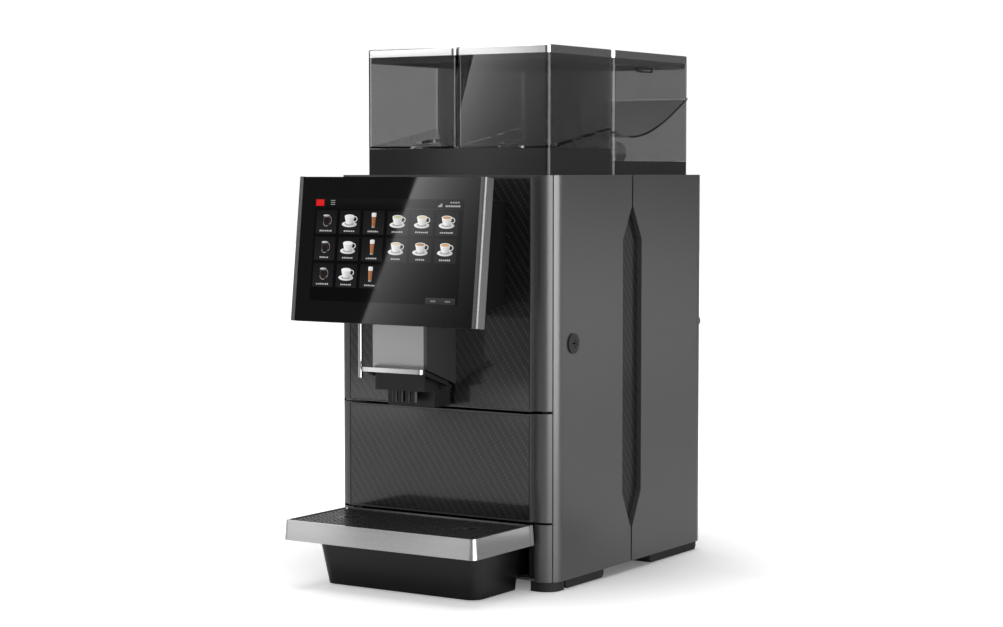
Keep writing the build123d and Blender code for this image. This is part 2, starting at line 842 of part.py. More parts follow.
def dripGrid():
    """The lift-out grid: short slots in a herringbone and two finger holes."""
    half, y0, y1 = gridOutline()
    plate = rounded(2 * half, y0, y1, rimRadius - 2.3, gridLow(), gridLow() + gridThick)
    rows = int((y1 - y0 - 10) / slotPitch)
    columns = int((2 * half - 10) / (slotLength * 0.92))
    stepX = (2 * half - 12) / columns
    places = []
    for row in range(rows):
        y = y0 + 8 + row * slotPitch
        for column in range(columns):
            x = -half + 6 + (column + 0.5) * stepX
            nearHole = min(math.hypot(x - s * fingerX, y - fingerY) for s in (-1, 1))
            if nearHole < fingerHole + slotLength * 0.62:
                continue
            lean = 32 if column % 2 else -32
            places.append(Pos(x, y) * Rot(0, 0, lean) * SlotOverall(slotLength, slotWidth))
    slots = Sketch() + places
    for side in (-1, 1):
        slots += Pos(side * fingerX, fingerY) * Circle(fingerHole)
    return plate - Pos(0, 0, gridLow() - 1) * extrude(slots, gridThick + 2)


# ---------- hoppers ----------

def hopperSeat():
    """The band under the bean hoppers and the lower base under the canisters."""
    front = rounded(
        2 * hopperHalfWidth, hopperFront, hopperSplit - hopperGap / 2, hopperRadius, bodyTop, seatTop
    )
    front -= rounded(
        2 * (hopperHalfWidth - seatWall),
        hopperFront + seatWall,
        hopperSplit - hopperGap / 2 - seatWall,
        hopperRadius - 3,
        bodyTop - 1,
        seatTop - seatWall,
    )
    for side in (-1, 1):
        front -= rod(throatRadius + 0.5, side * grinderX, grinderY, bodyTop, seatTop + 1)
    rear = rounded(
        2 * hopperHalfWidth, hopperSplit + hopperGap / 2, hopperRear, hopperRadius, bodyTop, rearSeatTop
    )
    rear -= rounded(
        2 * (hopperHalfWidth - seatWall),
        hopperSplit + hopperGap / 2 + seatWall,
        hopperRear - seatWall,
        hopperRadius - 3,
        bodyTop - 1,
        rearSeatTop + 1,
    )
    return [front, rear]


def hopperBox(y0, y1, z0, inset):
    x0 = hopperGap / 2 + inset
    x1 = hopperHalfWidth - inset
    return rounded(
        x1 - x0,
        y0 + inset,
        y1 - inset,
        hopperRadius - inset * 0.8,
        z0,
        hopperTop + (1 if inset else 0),
        (x0 + x1) / 2,
    )


def beanHopper():
    """The right bean hopper: smoked walls, a floor that falls to the front, and a throat."""
    y0 = hopperFront
    y1 = hopperSplit - hopperGap / 2
    z0 = seatTop + 0.2
    body = hopperBox(y0, y1, z0, 0.0)
    inside = hopperBox(y0, y1, z0 - 5, hopperWall)
    slope = [
        (y0, z0 - 10),
        (y1, z0 - 10),
        (y1, z0 + floorRise),
        (y0 + 4, z0 + hopperWall),
        (y0, z0 + hopperWall),
    ]
    under = [
        (y0 + 14, z0 - 10),
        (y1 + 1, z0 - 10),
        (y1 + 1, z0 + floorRise - hopperWall),
        (y0 + 14, z0),
    ]
    ramp = sidePrism(slope, -10, 140)
    below = sidePrism(under, -10, 140) & inside
    walls = body - (inside - ramp) - below
    throat = rod(throatRadius, grinderX, grinderY, deckLow - 8, z0 + 6)
    bore = rod(throatRadius - hopperWall, grinderX, grinderY, deckLow - 9, z0 + 30)
    return walls + throat - bore


def funnelCurve(drop):
    """The canister's floor from the side: lowest near its front third, rising to the rear."""
    y0 = hopperSplit + hopperGap / 2
    points = [
        (y, bodyTop + rise - drop)
        for y, rise in zip([y0 + run for run in funnelRun] + [hopperRear], funnelRise)
    ]
    return Spline(*[(0, y, z) for y, z in points]), points


def powderCanister():
    """The right powder canister: smoked walls, a curved floor and the auger's trough."""
    y0 = hopperSplit + hopperGap / 2
    z0 = rearSeatTop + 0.2
    body = hopperBox(y0, hopperRear, z0, 0.0)
    inside = hopperBox(y0, hopperRear, z0 - 5, hopperWall)
    walls = body - inside
    top, upper = funnelCurve(0)
    bottom, lower = funnelCurve(hopperWall)
    ends = [
        Line((0, *upper[0]), (0, *lower[0])),
        Line((0, *upper[-1]), (0, *lower[-1])),
    ]
    profile = make_face([top, bottom] + ends)
    floor = Pos(hopperGap / 2 + 0.6, 0, 0) * extrude(
        profile, hopperHalfWidth - hopperGap / 2 - 1.2, dir=(1, 0, 0)
    )
    slot = troughRadius
    start = y0 + seatWall + clear
    trough = rodY(slot + hopperWall, start, augerEnd + hopperWall, augerX, augerHeight)
    cheeks = box(
        augerX - slot - hopperWall,
        augerX + slot + hopperWall,
        start,
        augerEnd + hopperWall,
        augerHeight,
        augerHeight + troughHigh,
    )
    cheeks += box(
        augerX - slot - hopperWall,
        augerX + slot + hopperWall,
        y0 + 1,
        start + 1,
        z0,
        augerHeight + troughHigh,
    )
    hollow = rodY(slot, start + 2, augerEnd, augerX, augerHeight)
    hollow += box(augerX - slot, augerX + slot, start + 2, augerEnd, augerHeight, augerHeight + 36)
    chute = rod(9, augerX, chuteY, deckLow - 4, augerHeight)
    chute -= rod(7, augerX, chuteY, deckLow - 5, augerHeight)
    part = walls + floor + trough + cheeks + chute - hollow
    part -= rod(7, augerX, chuteY, deckLow - 5, augerHeight)
    part -= rodY(4 + clear, augerEnd - 1, augerEnd + 5, augerX, augerHeight)
    return part


def lid(y0, y1):
    """A lid with a bright top band and a dark lip that drops into the hopper."""
    x0 = hopperGap / 2
    middle = (x0 + hopperHalfWidth) / 2
    width = hopperHalfWidth - x0
    plate = rounded(width, y0, y1, hopperRadius, hopperTop + 0.1, lidTop, middle)
    plate = chamfer(plate.faces().sort_by(Axis.Z)[-1].edges(), 1.0)
    lip = rounded(
        width - 2 * hopperWall - 1,
        y0 + hopperWall + 0.5,
        y1 - hopperWall - 0.5,
        3,
        hopperTop - 7,
        hopperTop + 1,
        middle,
    )
    lip -= rounded(
        width - 2 * hopperWall - 6,
        y0 + hopperWall + 3,
        y1 - hopperWall - 3,
        2,
        hopperTop - 8,
        hopperTop + 0.5,
        middle,
    )
    return plate + lip


# ---------- works ----------


def grinderHousing():
    body = rod(grinderRadius, grinderX, grinderY, grinderLow, deckLow)
    body -= rod(burrRadius + 2, grinderX, grinderY, grinderLow + 12, deckLow - 14)
    body -= rod(throatRadius + 0.6, grinderX, grinderY, deckLow - 16, deckLow + 1)
    body -= rod(5 + clear, grinderX, grinderY, grinderLow - 1, grinderLow + 13)
    chuteEnd = grinderY + grinderRadius + 12
    chute = box(grinderX - 12, grinderX + 12, grinderY + 20, chuteEnd, grinderLow, grinderLow + 24)
    chute -= box(grinderX - 9, grinderX + 9, grinderY + 22, chuteEnd - 3, grinderLow - 1, grinderLow + 21)
    return body + (chute - rod(burrRadius + 2, grinderX, grinderY, grinderLow - 10, grinderLow + 40))


def grinderMotor():
    can = rod(motorRadius, grinderX, grinderY, motorLow, grinderLow)
    can -= rod(5 + clear, grinderX, grinderY, grinderLow - 18, grinderLow + 1)
    return chamfer(can.edges().group_by(Axis.Z)[0], 2)


def grinderBurr(side):
    x = side * grinderX
    base = grinderLow + 12 + clear
    cone = Pos(x, grinderY, base + 12) * Cone(burrRadius, 12, 24)
    shaft = rod(5, x, grinderY, grinderLow - 17, base + 2)
    burr = cone + shaft
    for turn in range(6):
        notch = Pos(x, grinderY, base + 14) * Rot(0, 0, 60 * turn) * Pos(26, 0, 0) * Box(10, 3, 22)
        burr -= notch
    return burr


def auger(side):
    """A shaft with leaning flights."""
    x = side * augerX
    shaft = rodY(4, 0, augerEnd + 12, x, augerHeight)
    flights = shaft
    for step in range(6):
        y = 8 + step * 9
        blade = Pos(x, y, augerHeight) * Rot(90, 0, 0) * Rot(18, 0, 0) * Cylinder(augerRadius - 1.5, 2)
        flights += blade
    return flights & rodY(augerRadius, -2, augerEnd + 13, x, augerHeight)


def gearMotor(x, y, z, floor):
    """A gear motor with its shaft facing forward and a foot down to its support."""
    can = rodY(gearMotorRadius, y, y + gearMotorLength, x, z)
    can -= rodY(4 + clear, y - 1, y + 11, x, z)
    foot = box(x - 8, x + 8, y + 4, y + gearMotorLength - 4, floor, z - gearMotorRadius + 2)
    return can + foot


def gearMotors():
    """Two for the augers, one for the whisk and one for the brew piston."""
    group = pair(gearMotor(augerX, augerEnd + hopperWall + clear, augerHeight, bodyTop))
    y = bulkheadY + bulkheadThick
    whisk = rodY(gearMotorRadius + 3, y, y + gearMotorLength, 0, bowlHeight)
    whisk -= rodY(3 + clear, y - 1, y + 12, 0, bowlHeight)
    brew = rod(gearMotorRadius, 0, brewY, brewTop() + 4, brewTop() + 4 + gearMotorLength)
    brew -= rod(6 + clear, 0, brewY, brewTop() + 3, brewTop() + 5 + gearMotorLength)
    return group + [whisk, brew]


def mixingBowl():
    """The mixing chamber under both chutes, with a broad funnel above it."""
    wall = 2.5
    chamber = rodY(bowlRadius, -26, 14, 0, bowlHeight)
    neck = rodY(12, 14, bulkheadY, 0, bowlHeight)
    high = deckLow - 13.5
    across = 2 * (augerX + 21.7)
    funnelTop = Pos(0, chuteY, high) * Rectangle(across, 40)
    funnelLow = Pos(0, 0, bowlHeight + 15) * Rectangle(30, 24)
    funnel = loft([funnelLow, funnelTop])
    inTop = Pos(0, chuteY, high + 0.1) * Rectangle(across - 2 * wall, 40 - 2 * wall)
    inLow = Pos(0, 0, bowlHeight + 10) * Rectangle(30 - 2 * wall, 24 - 2 * wall)
    spigot = rod(6, 0, -14, bowlHeight - 44, bowlHeight - 20)
    body = chamber + neck + funnel + spigot
    body -= rodY(bowlRadius - wall, -26 + wall, 14 - wall, 0, bowlHeight)
    body -= loft([inLow, inTop])
    body -= rodY(3 + clear, 0, bulkheadY + 1, 0, bowlHeight)
    body -= rod(4, 0, -14, bowlHeight - 45, bowlHeight - 10)
    return body


def whisk():
    shaft = rodY(3, -14, bulkheadY + 13, 0, bowlHeight)
    wheel = rodY(19, -14, -10, 0, bowlHeight)
    for turn in range(8):
        spot = Rot(0, 45 * turn, 0) * Pos(13, 0, 0)
        wheel -= Pos(0, 0, bowlHeight) * spot * Rot(90, 0, 0) * Pos(0, 0, 12) * Cylinder(3, 10)
    return shaft + wheel


def brewTop():
    return chamberHigh + 26


def brewFrame():
    """Back plate, chamber, and the bridge that carries the piston's drive."""
    chamber = rod(chamberRadius + 3.5, 0, brewY, chamberLow, chamberHigh)
    chamber -= rod(chamberRadius, 0, brewY, chamberLow + 5, chamberHigh + 1)
    plate = box(-46, 46, brewY + chamberRadius + 3, brewY + chamberRadius + 7, chamberLow - 8, brewTop() + 4)
    bridge = box(-30, 30, brewY - 20, brewY + chamberRadius + 7, brewTop(), brewTop() + 4)
    bridge -= rod(6 + clear, 0, brewY, brewTop() - 1, brewTop() + 5)
    arms = box(38, 46, brewY + chamberRadius + 7, bulkheadY, chamberLow + 8, brewTop() - 30)
    return chamber + plate + bridge + arms + mirror(arms, Plane.YZ)


def brewPiston():
    low = chamberHigh + 4
    disc = rod(chamberRadius - clear, 0, brewY, low, low + 12)
    return disc + rod(6, 0, brewY, low + 12, brewTop() + 4 + gearMotorLength + 20 - 8)


def boiler():
    x, y = 78.0, 108.0
    tank = rod(46, x, y, 70, 250)
    tank = fillet(tank.edges(), 10) - rod(43, x, y, 73, 247)
    for turn in range(3):
        leg = Rot(0, 0, 120 * turn) * Pos(34, 0, 0)
        tank += Pos(x, y, (plateHigh + 90) / 2) * leg * Box(10, 10, 90 - plateHigh)
    return tank + rod(5, x, y, 249, 262)


def pump():
    x, z = -80.0, 48.0
    body = rodY(22, 62, 118, x, z) + rodY(15, 118, 146, x, z) + rodY(6, 146, 153, x, z)
    foot = box(x - 16, x + 16, 68, 112, plateHigh, z - 16)
    return body + foot


def controlBoard():
    """The board on its standoffs behind the bulkhead, with its larger components."""
    y = bulkheadY + bulkheadThick
    board = box(-125, -30, y + 6, y + 8, 230, 360)
    for x in (-118, -37):
        for z in (237, 353):
            board += rodY(3, y, y + 6, x, z)
    for x, z, w, h, d in boardParts:
        board += box(x - w / 2, x + w / 2, y + 8, y + 8 + d, z - h / 2, z + h / 2)
    return board


def fanRotor():
    y0 = casingRear - 12
    hub = rodY(14, y0, casingRear - 4, fanX, fanHeight)
    for turn in range(7):
        blade = Rot(0, 360 / 7 * turn, 0) * Pos(24, 0, 0) * Rot(28, 0, 0) * Box(24, 1.6, 11)
        hub += Pos(fanX, casingRear - 8, fanHeight) * blade
    hub &= rodY(fanRadius, casingRear - 13.5, casingRear - 3.3, fanX, fanHeight)
    return hub - rodY(3 + pinClear, y0 - 5, casingRear, fanX, fanHeight)


# ---------- services ----------

def inletHole():
    return (inletX - 15, inletX + 15, casingRear - 5, casingRear + 5, inletZ - 28, inletZ + 28)


def powerInlet():
    """The mains inlet socket with the well for its rocker switch."""
    body = box(inletX - 14.5, inletX + 14.5, casingRear - 26, casingRear, inletZ - 27.5, inletZ + 27.5)
    body += box(inletX - 18, inletX + 18, casingRear, casingRear + 2.5, inletZ - 32, inletZ + 32)
    body -= box(inletX - 11, inletX + 11, casingRear - 18, casingRear + 5, inletZ - 24, inletZ - 2)
    body -= box(inletX - 11, inletX + 11, casingRear - 16, casingRear + 5, inletZ + 2, inletZ + 26)
    for x, z in ((0, -9), (-5, -16), (5, -16)):
        pinX = inletX + x
        pinZ = inletZ + z
        body += box(pinX - 1, pinX + 1, casingRear - 19, casingRear - 4, pinZ - 2.5, pinZ + 2.5)
    for x in (-11.5, 11.5):
        body -= rodX(1.5 + pinClear, inletX + x - 2, inletX + x + 2, switchY(), switchZ())
    return body


def switchY():
    return casingRear - 6.0


def switchZ():
    return inletZ + 14.0


def powerSwitch():
    """The rocker, tipped to its off side."""
    y, z = switchY(), switchZ()
    half = 10.6
    outline = [
        (y - 5, z - 5),
        (y + 3, z - half + 0.4),
        (y + 9.5, z - half + 0.8),
        (y + 7.2, z),
        (y + 7.2, z + 0.4),
        (y + 6.6, z + half),
        (y - 0.5, z + half),
        (y - 5, z + 5),
    ]
    rocker = sidePrism(outline, inletX - 10.6, inletX + 10.6)
    return rocker + rodX(1.5, inletX - 12.8, inletX + 12.8, y, z)


def waterFittings():
    """The threaded water inlet and the drain spigot, each on its own elbow block."""
    inlet = rodY(13.2, casingRear - 4, casingRear + 14, waterX, waterZ)
    inlet += rodY(14, casingRear - 16, casingRear + 1, waterX, waterZ)
    inlet += box(waterX - 9, waterX + 9, casingRear - 16, casingRear - 6, plateHigh, waterZ)
    inlet -= rodY(8, casingRear - 4, casingRear + 15, waterX, waterZ)
    drain = rodY(8, casingRear - 4, casingRear + 14, drainX, waterZ)
    drain += rodY(14, casingRear - 16, casingRear + 1, drainX, waterZ)
    drain += box(drainX - 9, drainX + 9, casingRear - 16, casingRear - 6, plateHigh, waterZ)
    drain -= rodY(6, casingRear - 4, casingRear + 15, drainX, waterZ)
    return [inlet, drain]


beanBack = hopperSplit - hopperGap / 2
powderFront = hopperSplit + hopperGap / 2
beanLid = lid(hopperFront, beanBack)
powderLid = lid(powderFront, hopperRear)
hopper = beanHopper()
canister = powderCanister()
rearPanel = sidePanel(True)

nodes = {
    "base_plate": basePlate(),
    "foot_pads": footPads(),
    "side_panel_right_front": sidePanelFrontRight(),
    "side_panel_right_rear": rearPanel,
    "side_panel_left_front": sidePanelFrontLeft(),
    "side_panel_left_rear": mirror(rearPanel, Plane.YZ),
    "side_inlays": sideInlays(),
    "back_cover": backCover(),
    "top_deck": topDeck(),
    "base_corners": baseCorners(),
    "tray_bay": trayBay(),
    "inner_frame": innerFrame(),
    "hinge_arms": hingeArms(),
    "lock_housing": lockHousing(),
    "lock_barrel": lockBarrel(),
    "door_frame": door(),
    "door_carbon_panel": doorCarbonPanel(),
    "door_liner": doorLiner(),
    "screen_housing": screenHousing(),
    "screen_glass": screenGlass(),
    "screen_bracket": screenBracket(),
    "spout_cover": spoutCover(),
    "spout_face_plate": spoutFacePlate(),
    "hot_water_tube": hotWaterTube(),
    "nozzle_block": nozzleBlock(),
    "coffee_nozzles": coffeeNozzles(),
    "spout_handle": spoutHandle(),
    "drawer_front": drawerFront(),
    "drawer_carbon_panel": drawerCarbonPanel(),
    "grounds_bin": groundsBin(),
    "drip_tray_rim": dripTrayRim(),
    "drip_tray_basin": dripTrayBasin(),
    "drip_grid": dripGrid(),
    "hopper_seat": hopperSeat(),
    "bean_hopper_right": hopper,
    "bean_hopper_left": mirror(hopper, Plane.YZ),
    "powder_canister_right": canister,
    "powder_canister_left": mirror(canister, Plane.YZ),
    "bean_lid_right": beanLid,
    "bean_lid_left": mirror(beanLid, Plane.YZ),
    "powder_lid_right": powderLid,
    "powder_lid_left": mirror(powderLid, Plane.YZ),
    "grinder_housings": pair(grinderHousing()),
    "grinder_motors": pair(grinderMotor()),
    "grinder_burr_right": grinderBurr(1),
    "grinder_burr_left": grinderBurr(-1),
    "auger_right": auger(1),
    "auger_left": auger(-1),
    "gear_motors": gearMotors(),
    "mixing_bowl": mixingBowl(),
    "whisk": whisk(),
    "brew_frame": brewFrame(),
    "brew_piston": brewPiston(),
    "boiler": boiler(),
    "pump": pump(),
    "control_board": controlBoard(),
    "fan_rotor": fanRotor(),
    "power_inlet": powerInlet(),
    "power_switch": powerSwitch(),
    "water_fittings": waterFittings(),
}


def solidsOf(shape):
    """Every separate solid of a piece or of a group of pieces."""
    found = []
    for item in shape if isinstance(shape, list) else [shape]:
        found += item.solids()
    return found


for name, shape in nodes.items():
    solids = solidsOf(shape)
    export_step(Compound(solids), f"parts/{name}.step")
    print(name, len(solids), "solids", round(sum(s.volume for s in solids)), "mm3")
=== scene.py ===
import math

import bpy
import numpy as np
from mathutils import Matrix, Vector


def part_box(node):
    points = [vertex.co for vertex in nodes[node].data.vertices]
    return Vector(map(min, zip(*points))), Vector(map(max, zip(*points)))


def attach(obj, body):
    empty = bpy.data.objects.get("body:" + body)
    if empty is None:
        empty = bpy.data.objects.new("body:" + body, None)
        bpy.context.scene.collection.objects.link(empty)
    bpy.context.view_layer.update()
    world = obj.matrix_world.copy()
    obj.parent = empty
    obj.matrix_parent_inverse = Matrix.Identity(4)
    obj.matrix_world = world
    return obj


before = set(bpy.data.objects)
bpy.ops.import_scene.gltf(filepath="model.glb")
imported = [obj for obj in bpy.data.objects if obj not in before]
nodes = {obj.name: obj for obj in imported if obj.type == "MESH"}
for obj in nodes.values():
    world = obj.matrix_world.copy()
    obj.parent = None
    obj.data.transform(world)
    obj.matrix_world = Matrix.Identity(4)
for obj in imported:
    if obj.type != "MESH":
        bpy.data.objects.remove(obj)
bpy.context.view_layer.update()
scene = bpy.context.scene
mm = 0.001
print("frame loaded:", len(nodes), "nodes")

# small helpers for meshes


def gridFaces(rows, columns):
    # quads of a rows x columns grid: (i, j), (i, j+1), (i+1, j+1), (i+1, j).
    index = np.arange(rows * columns).reshape(rows, columns)
    corners = [index[:-1, :-1], index[:-1, 1:], index[1:, 1:], index[1:, :-1]]
    return np.stack(corners, -1).reshape(-1, 4)


def meshPiece(name, points, faces, material, body, colours=None, smooth=False):
    # puts arrays of points and quads into a mesh that rides on a body.
    mesh = bpy.data.meshes.new(name)
    mesh.from_pydata(points.tolist(), [], faces.tolist())
    if colours is not None:
        layer = mesh.color_attributes.new("paint", "FLOAT_COLOR", "POINT")
        full = np.concatenate([colours, np.ones((len(colours), 1))], 1)
        layer.data.foreach_set("color", full.astype(np.float32).ravel())
    mesh.polygons.foreach_set("use_smooth", np.full(len(mesh.polygons), smooth))
    mesh.materials.append(material)
    mesh.validate()
    mesh.update()
    piece = bpy.data.objects.new(name, mesh)
    scene.collection.objects.link(piece)
    if body:
        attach(piece, body)
    return piece


def joined(parts):
    # stacks (points, faces, ...) parts into one pair, each face index moved past the points before it.
    starts = np.cumsum([0] + [len(part[0]) for part in parts[:-1]])
    points = np.concatenate([part[0] for part in parts])
    faces = np.concatenate([part[1] + start for part, start in zip(parts, starts)])
    return points, faces


# small helpers for shader nodes


def feed(tree, socket, value):
    # links a socket to another one, or sets its value.
    if isinstance(value, bpy.types.NodeSocket):
        tree.links.new(value, socket)
    else:
        socket.default_value = value


def place(tree, kind, inputs=None, **settings):
    # adds a node, sets its options, and sets or links its inputs.
    node = tree.nodes.new(kind)
    for key, value in settings.items():
        setattr(node, key, value)
    for key, value in (inputs or {}).items():
        feed(tree, node.inputs[key], value)
    return node


def calc(tree, operation, *values):
    # one Math node; returns its output.
    inputs = {i: value for i, value in enumerate(values)}
    return place(tree, "ShaderNodeMath", inputs, operation=operation).outputs[0]


def placeGroup(tree, which, **values):
    # a node group with its inputs set or linked by name
    node = tree.nodes.new("ShaderNodeGroup")
    node.node_tree = which
    for key, value in values.items():
        feed(tree, node.inputs[key], value)
    return node


def blendColour(tree, factor, first, second):
    # mixes two colours by a factor; returns the colour.
    node = place(tree, "ShaderNodeMix", data_type="RGBA")
    for index, value in ((0, factor), (6, first), (7, second)):
        feed(tree, node.inputs[index], value)
    return node.outputs[2]


def objectSpot(tree):
    return place(tree, "ShaderNodeTexCoord").outputs["Object"]


def mottle(tree, spot, scale, detail=2.0):
    # soft noise at a place; returns its value.
    return place(tree, "ShaderNodeTexNoise", {"Vector": spot, "Scale": scale, "Detail": detail}).outputs[0]


def bump(tree, shader, strength, deep, height):
    # bends the shading normal by a height.
    bumped = place(tree, "ShaderNodeBump", {"Strength": strength, "Distance": deep, "Height": height})
    tree.links.new(bumped.outputs[0], shader.inputs["Normal"])


def grey(value, warm=0.0):
    return (value * (1 + warm), value, value * (1 - warm), 1.0)


def group(name, inputs, outputs):
    # an empty node group; an input without a value is a vector, all others are floats.
    tree = bpy.data.node_groups.new(name, "ShaderNodeTree")
    for label, value in inputs.items():
        kind = "NodeSocketVector" if value is None else "NodeSocketFloat"
        socket = tree.interface.new_socket(label, in_out="INPUT", socket_type=kind)
        if value is not None:
            socket.default_value = value
    for label in outputs:
        tree.interface.new_socket(label, in_out="OUTPUT", socket_type="NodeSocketFloat")
    return tree, tree.nodes.new("NodeGroupInput").outputs, tree.nodes.new("NodeGroupOutput").inputs


def material(name, base, metallic=0.0, roughness=0.5, **sockets):
    # a Principled material; further words are socket names with _ for each space.
    made = bpy.data.materials.new(name)
    made.use_nodes = True
    tree = made.node_tree
    shader = tree.nodes["Principled BSDF"]
    shader.inputs["Base Color"].default_value = base
    shader.inputs["Metallic"].default_value = metallic
    shader.inputs["Roughness"].default_value = roughness
    for key, value in sockets.items():
        shader.inputs[key.replace("_", " ")].default_value = value
    made.diffuse_color = base
    return made, tree, shader


# shared effects


weave = {"wide": 0.0025, "tall": 0.0036, "narrowing": 0.7, "deep": 0.0003}  # metres; narrowing is a power


def twillGroup():
    # two-over-two twill: cell (i, j) = floor((x + y) / wide), floor(z / tall); k = (i + j) mod 4.
    # threads run up where k < 2 and across elsewhere; height is a half sine over the thread.
    # glint, a painted highlight, lies in the middle of the cells where k = 0.
    sizes = {"Vector": None, "Wide": weave["wide"], "Tall": weave["tall"]}
    tree, given, made = group("carbonTwill", sizes, ["Glint", "Height", "Row"])
    parts = place(tree, "ShaderNodeSeparateXYZ", {0: given["Vector"]}).outputs
    across = calc(tree, "DIVIDE", calc(tree, "ADD", parts["X"], parts["Y"]), given["Wide"])
    up = calc(tree, "DIVIDE", parts["Z"], given["Tall"])
    cell = calc(tree, "ADD", calc(tree, "FLOOR", across), calc(tree, "FLOOR", up))
    turn = calc(tree, "FLOORED_MODULO", cell, 4.0)
    humpAcross = calc(tree, "SINE", calc(tree, "MULTIPLY", calc(tree, "FRACT", across), math.pi))
    humpUp = calc(tree, "SINE", calc(tree, "MULTIPLY", calc(tree, "FRACT", up), math.pi))
    upright = calc(tree, "LESS_THAN", turn, 1.5)
    flat = calc(tree, "SUBTRACT", 1.0, upright)
    high = calc(tree, "MULTIPLY_ADD", upright, humpAcross, calc(tree, "MULTIPLY", flat, humpUp))
    first = calc(tree, "LESS_THAN", turn, 0.5)
    spot = calc(tree, "POWER", calc(tree, "MULTIPLY", humpAcross, humpUp), weave["narrowing"])
    tree.links.new(calc(tree, "MULTIPLY", first, spot), made["Glint"])
    tree.links.new(high, made["Height"])
    tree.links.new(upright, made["Row"])
    return tree


grainLook = {
    "broad": 9.0,
    "broadDetail": 4.0,
    "fineDetail": 3.0,
    "toneShare": 0.6,
    "grainShare": 0.4,
    "deep": 0.0002,  # metres
}


def grainGroup():
    # stretched noise for brushed and sprayed finishes: finer value for bump, broad value for tone.
    sizes = {"Vector": None, "Fine": 900.0, "Across": 1.0, "Along": 1.0}
    tree, given, made = group("fineGrain", sizes, ["Tone", "Grain"])
    stretch = {0: given["Across"], 1: given["Across"], 2: given["Along"]}
    scale = place(tree, "ShaderNodeCombineXYZ", stretch).outputs[0]
    moved = place(tree, "ShaderNodeVectorMath", {0: given["Vector"], 1: scale}, operation="MULTIPLY")
    fine = mottle(tree, moved.outputs[0], given["Fine"], grainLook["fineDetail"])
    broad = mottle(tree, given["Vector"], grainLook["broad"], grainLook["broadDetail"])
    tree.links.new(fine, made["Grain"])
    tree.links.new(broad, made["Tone"])
    return tree


carbonTwill = twillGroup()
fineGrain = grainGroup()


def grained(tree, shader, base, spread, rough, roughSpread, fine=900.0, across=1.0, along=1.0, relief=0.05):
    # ties the grain group to colour, roughness and bump of a material.
    spot = objectSpot(tree)
    made = placeGroup(tree, fineGrain, Vector=spot, Fine=fine, Across=across, Along=along).outputs
    share = calc(tree, "MULTIPLY", made["Grain"], grainLook["grainShare"])
    tone = calc(tree, "MULTIPLY_ADD", made["Tone"], grainLook["toneShare"], share)
    dark = tuple(c * (1 - spread) for c in base[:3]) + (1.0,)
    light = tuple(min(1.0, c * (1 + spread)) for c in base[:3]) + (1.0,)
    tree.links.new(blendColour(tree, tone, dark, light), shader.inputs["Base Color"])
    matt = calc(tree, "MULTIPLY_ADD", made["Tone"], 2 * roughSpread, rough - roughSpread)
    tree.links.new(matt, shader.inputs["Roughness"])
    bump(tree, shader, relief, grainLook["deep"], made["Grain"])


def metal(name, base, roughness, metallic=0.9, spread=0.05, roughSpread=0.03, **how):
    made, tree, shader = material(name, base, metallic, roughness)
    grained(tree, shader, base, spread, roughness, roughSpread, **how)
    return made


def plastic(name, base, roughness, spread=0.15, roughSpread=0.05, fine=1400.0, relief=0.25, **sockets):
    made, tree, shader = material(name, base, 0.0, roughness, **sockets)
    grained(tree, shader, base, spread, roughness, roughSpread, fine=fine, relief=relief)
    return made


# finishes


def carbonSkin(name, coat, shine):
    # twill under clear lacquer: dark threads with painted sheen along the crests of the upright ones, and one
    # painted highlight spot in four cells
    look = {"dark": grey(0.002), "threadSheen": grey(0.007), "glint": grey(0.045), "relief": 0.2, "rough": 0.4}
    lacquer = {"Coat_Weight": coat, "Coat_Roughness": 0.09, "Coat_IOR": 1.62, "Specular_IOR_Level": shine}
    made, tree, shader = material(name, look["dark"], 0.0, look["rough"], **lacquer)
    spot = objectSpot(tree)
    twill = placeGroup(tree, carbonTwill, Vector=spot, Wide=weave["wide"], Tall=weave["tall"]).outputs
    # painted sheen: upright threads are lighter along their crests, standing in for the light they catch
    threadSheen = calc(tree, "MULTIPLY", twill["Row"], twill["Height"])
    sheenedThreads = blendColour(tree, threadSheen, look["dark"], look["threadSheen"])
    # painted highlight: the glint cells get a lighter base colour
    colour = blendColour(tree, twill["Glint"], sheenedThreads, look["glint"])
    tree.links.new(colour, shader.inputs["Base Color"])
    bump(tree, shader, look["relief"], weave["deep"], twill["Height"])
    return made


def pastMask(tree, spot, axis, limit, side="GREATER_THAN"):
    # 1 where a coordinate is past a limit, else 0
    value = place(tree, "ShaderNodeSeparateXYZ", {0: spot}).outputs[axis]
    return calc(tree, side, value, limit)


def besideMask(tree, spot, limit):
    # 1 where a point is further than a limit from the middle plane, on either side
    across = calc(tree, "ABSOLUTE", place(tree, "ShaderNodeSeparateXYZ", {0: spot}).outputs["X"])
    return calc(tree, "GREATER_THAN", across, limit)


def smokedPlastic(name, tint, shadedSideTint, half):
    # grey-tinted clear plastic with painted shade in its outer side walls (a deeper tint there), and a little
    # cloudier in places;
    # half is how far the outer face is from the middle plane
    look = {"haze": 30.0, "detail": 3.0, "cloud": 0.02, "spread": 0.02, "wall": 3 * mm}
    clear = {"Transmission_Weight": 1.0, "IOR": 1.49, "Specular_IOR_Level": 0.22}
    made, tree, shader = material(name, grey(tint), 0.0, 0.03, **clear)
    spot = objectSpot(tree)
    haze = mottle(tree, spot, look["haze"], look["detail"])
    tree.links.new(calc(tree, "MULTIPLY_ADD", haze, look["cloud"], 0.0), shader.inputs["Roughness"])
    shadedWalls = besideMask(tree, spot, half - look["wall"])
    colour = blendColour(tree, haze, grey(tint - look["spread"]), grey(tint + look["spread"]))
    # painted shade: the outer side walls take the deeper side tint
    tree.links.new(blendColour(tree, shadedWalls, colour, grey(shadedSideTint)), shader.inputs["Base Color"])
    return made


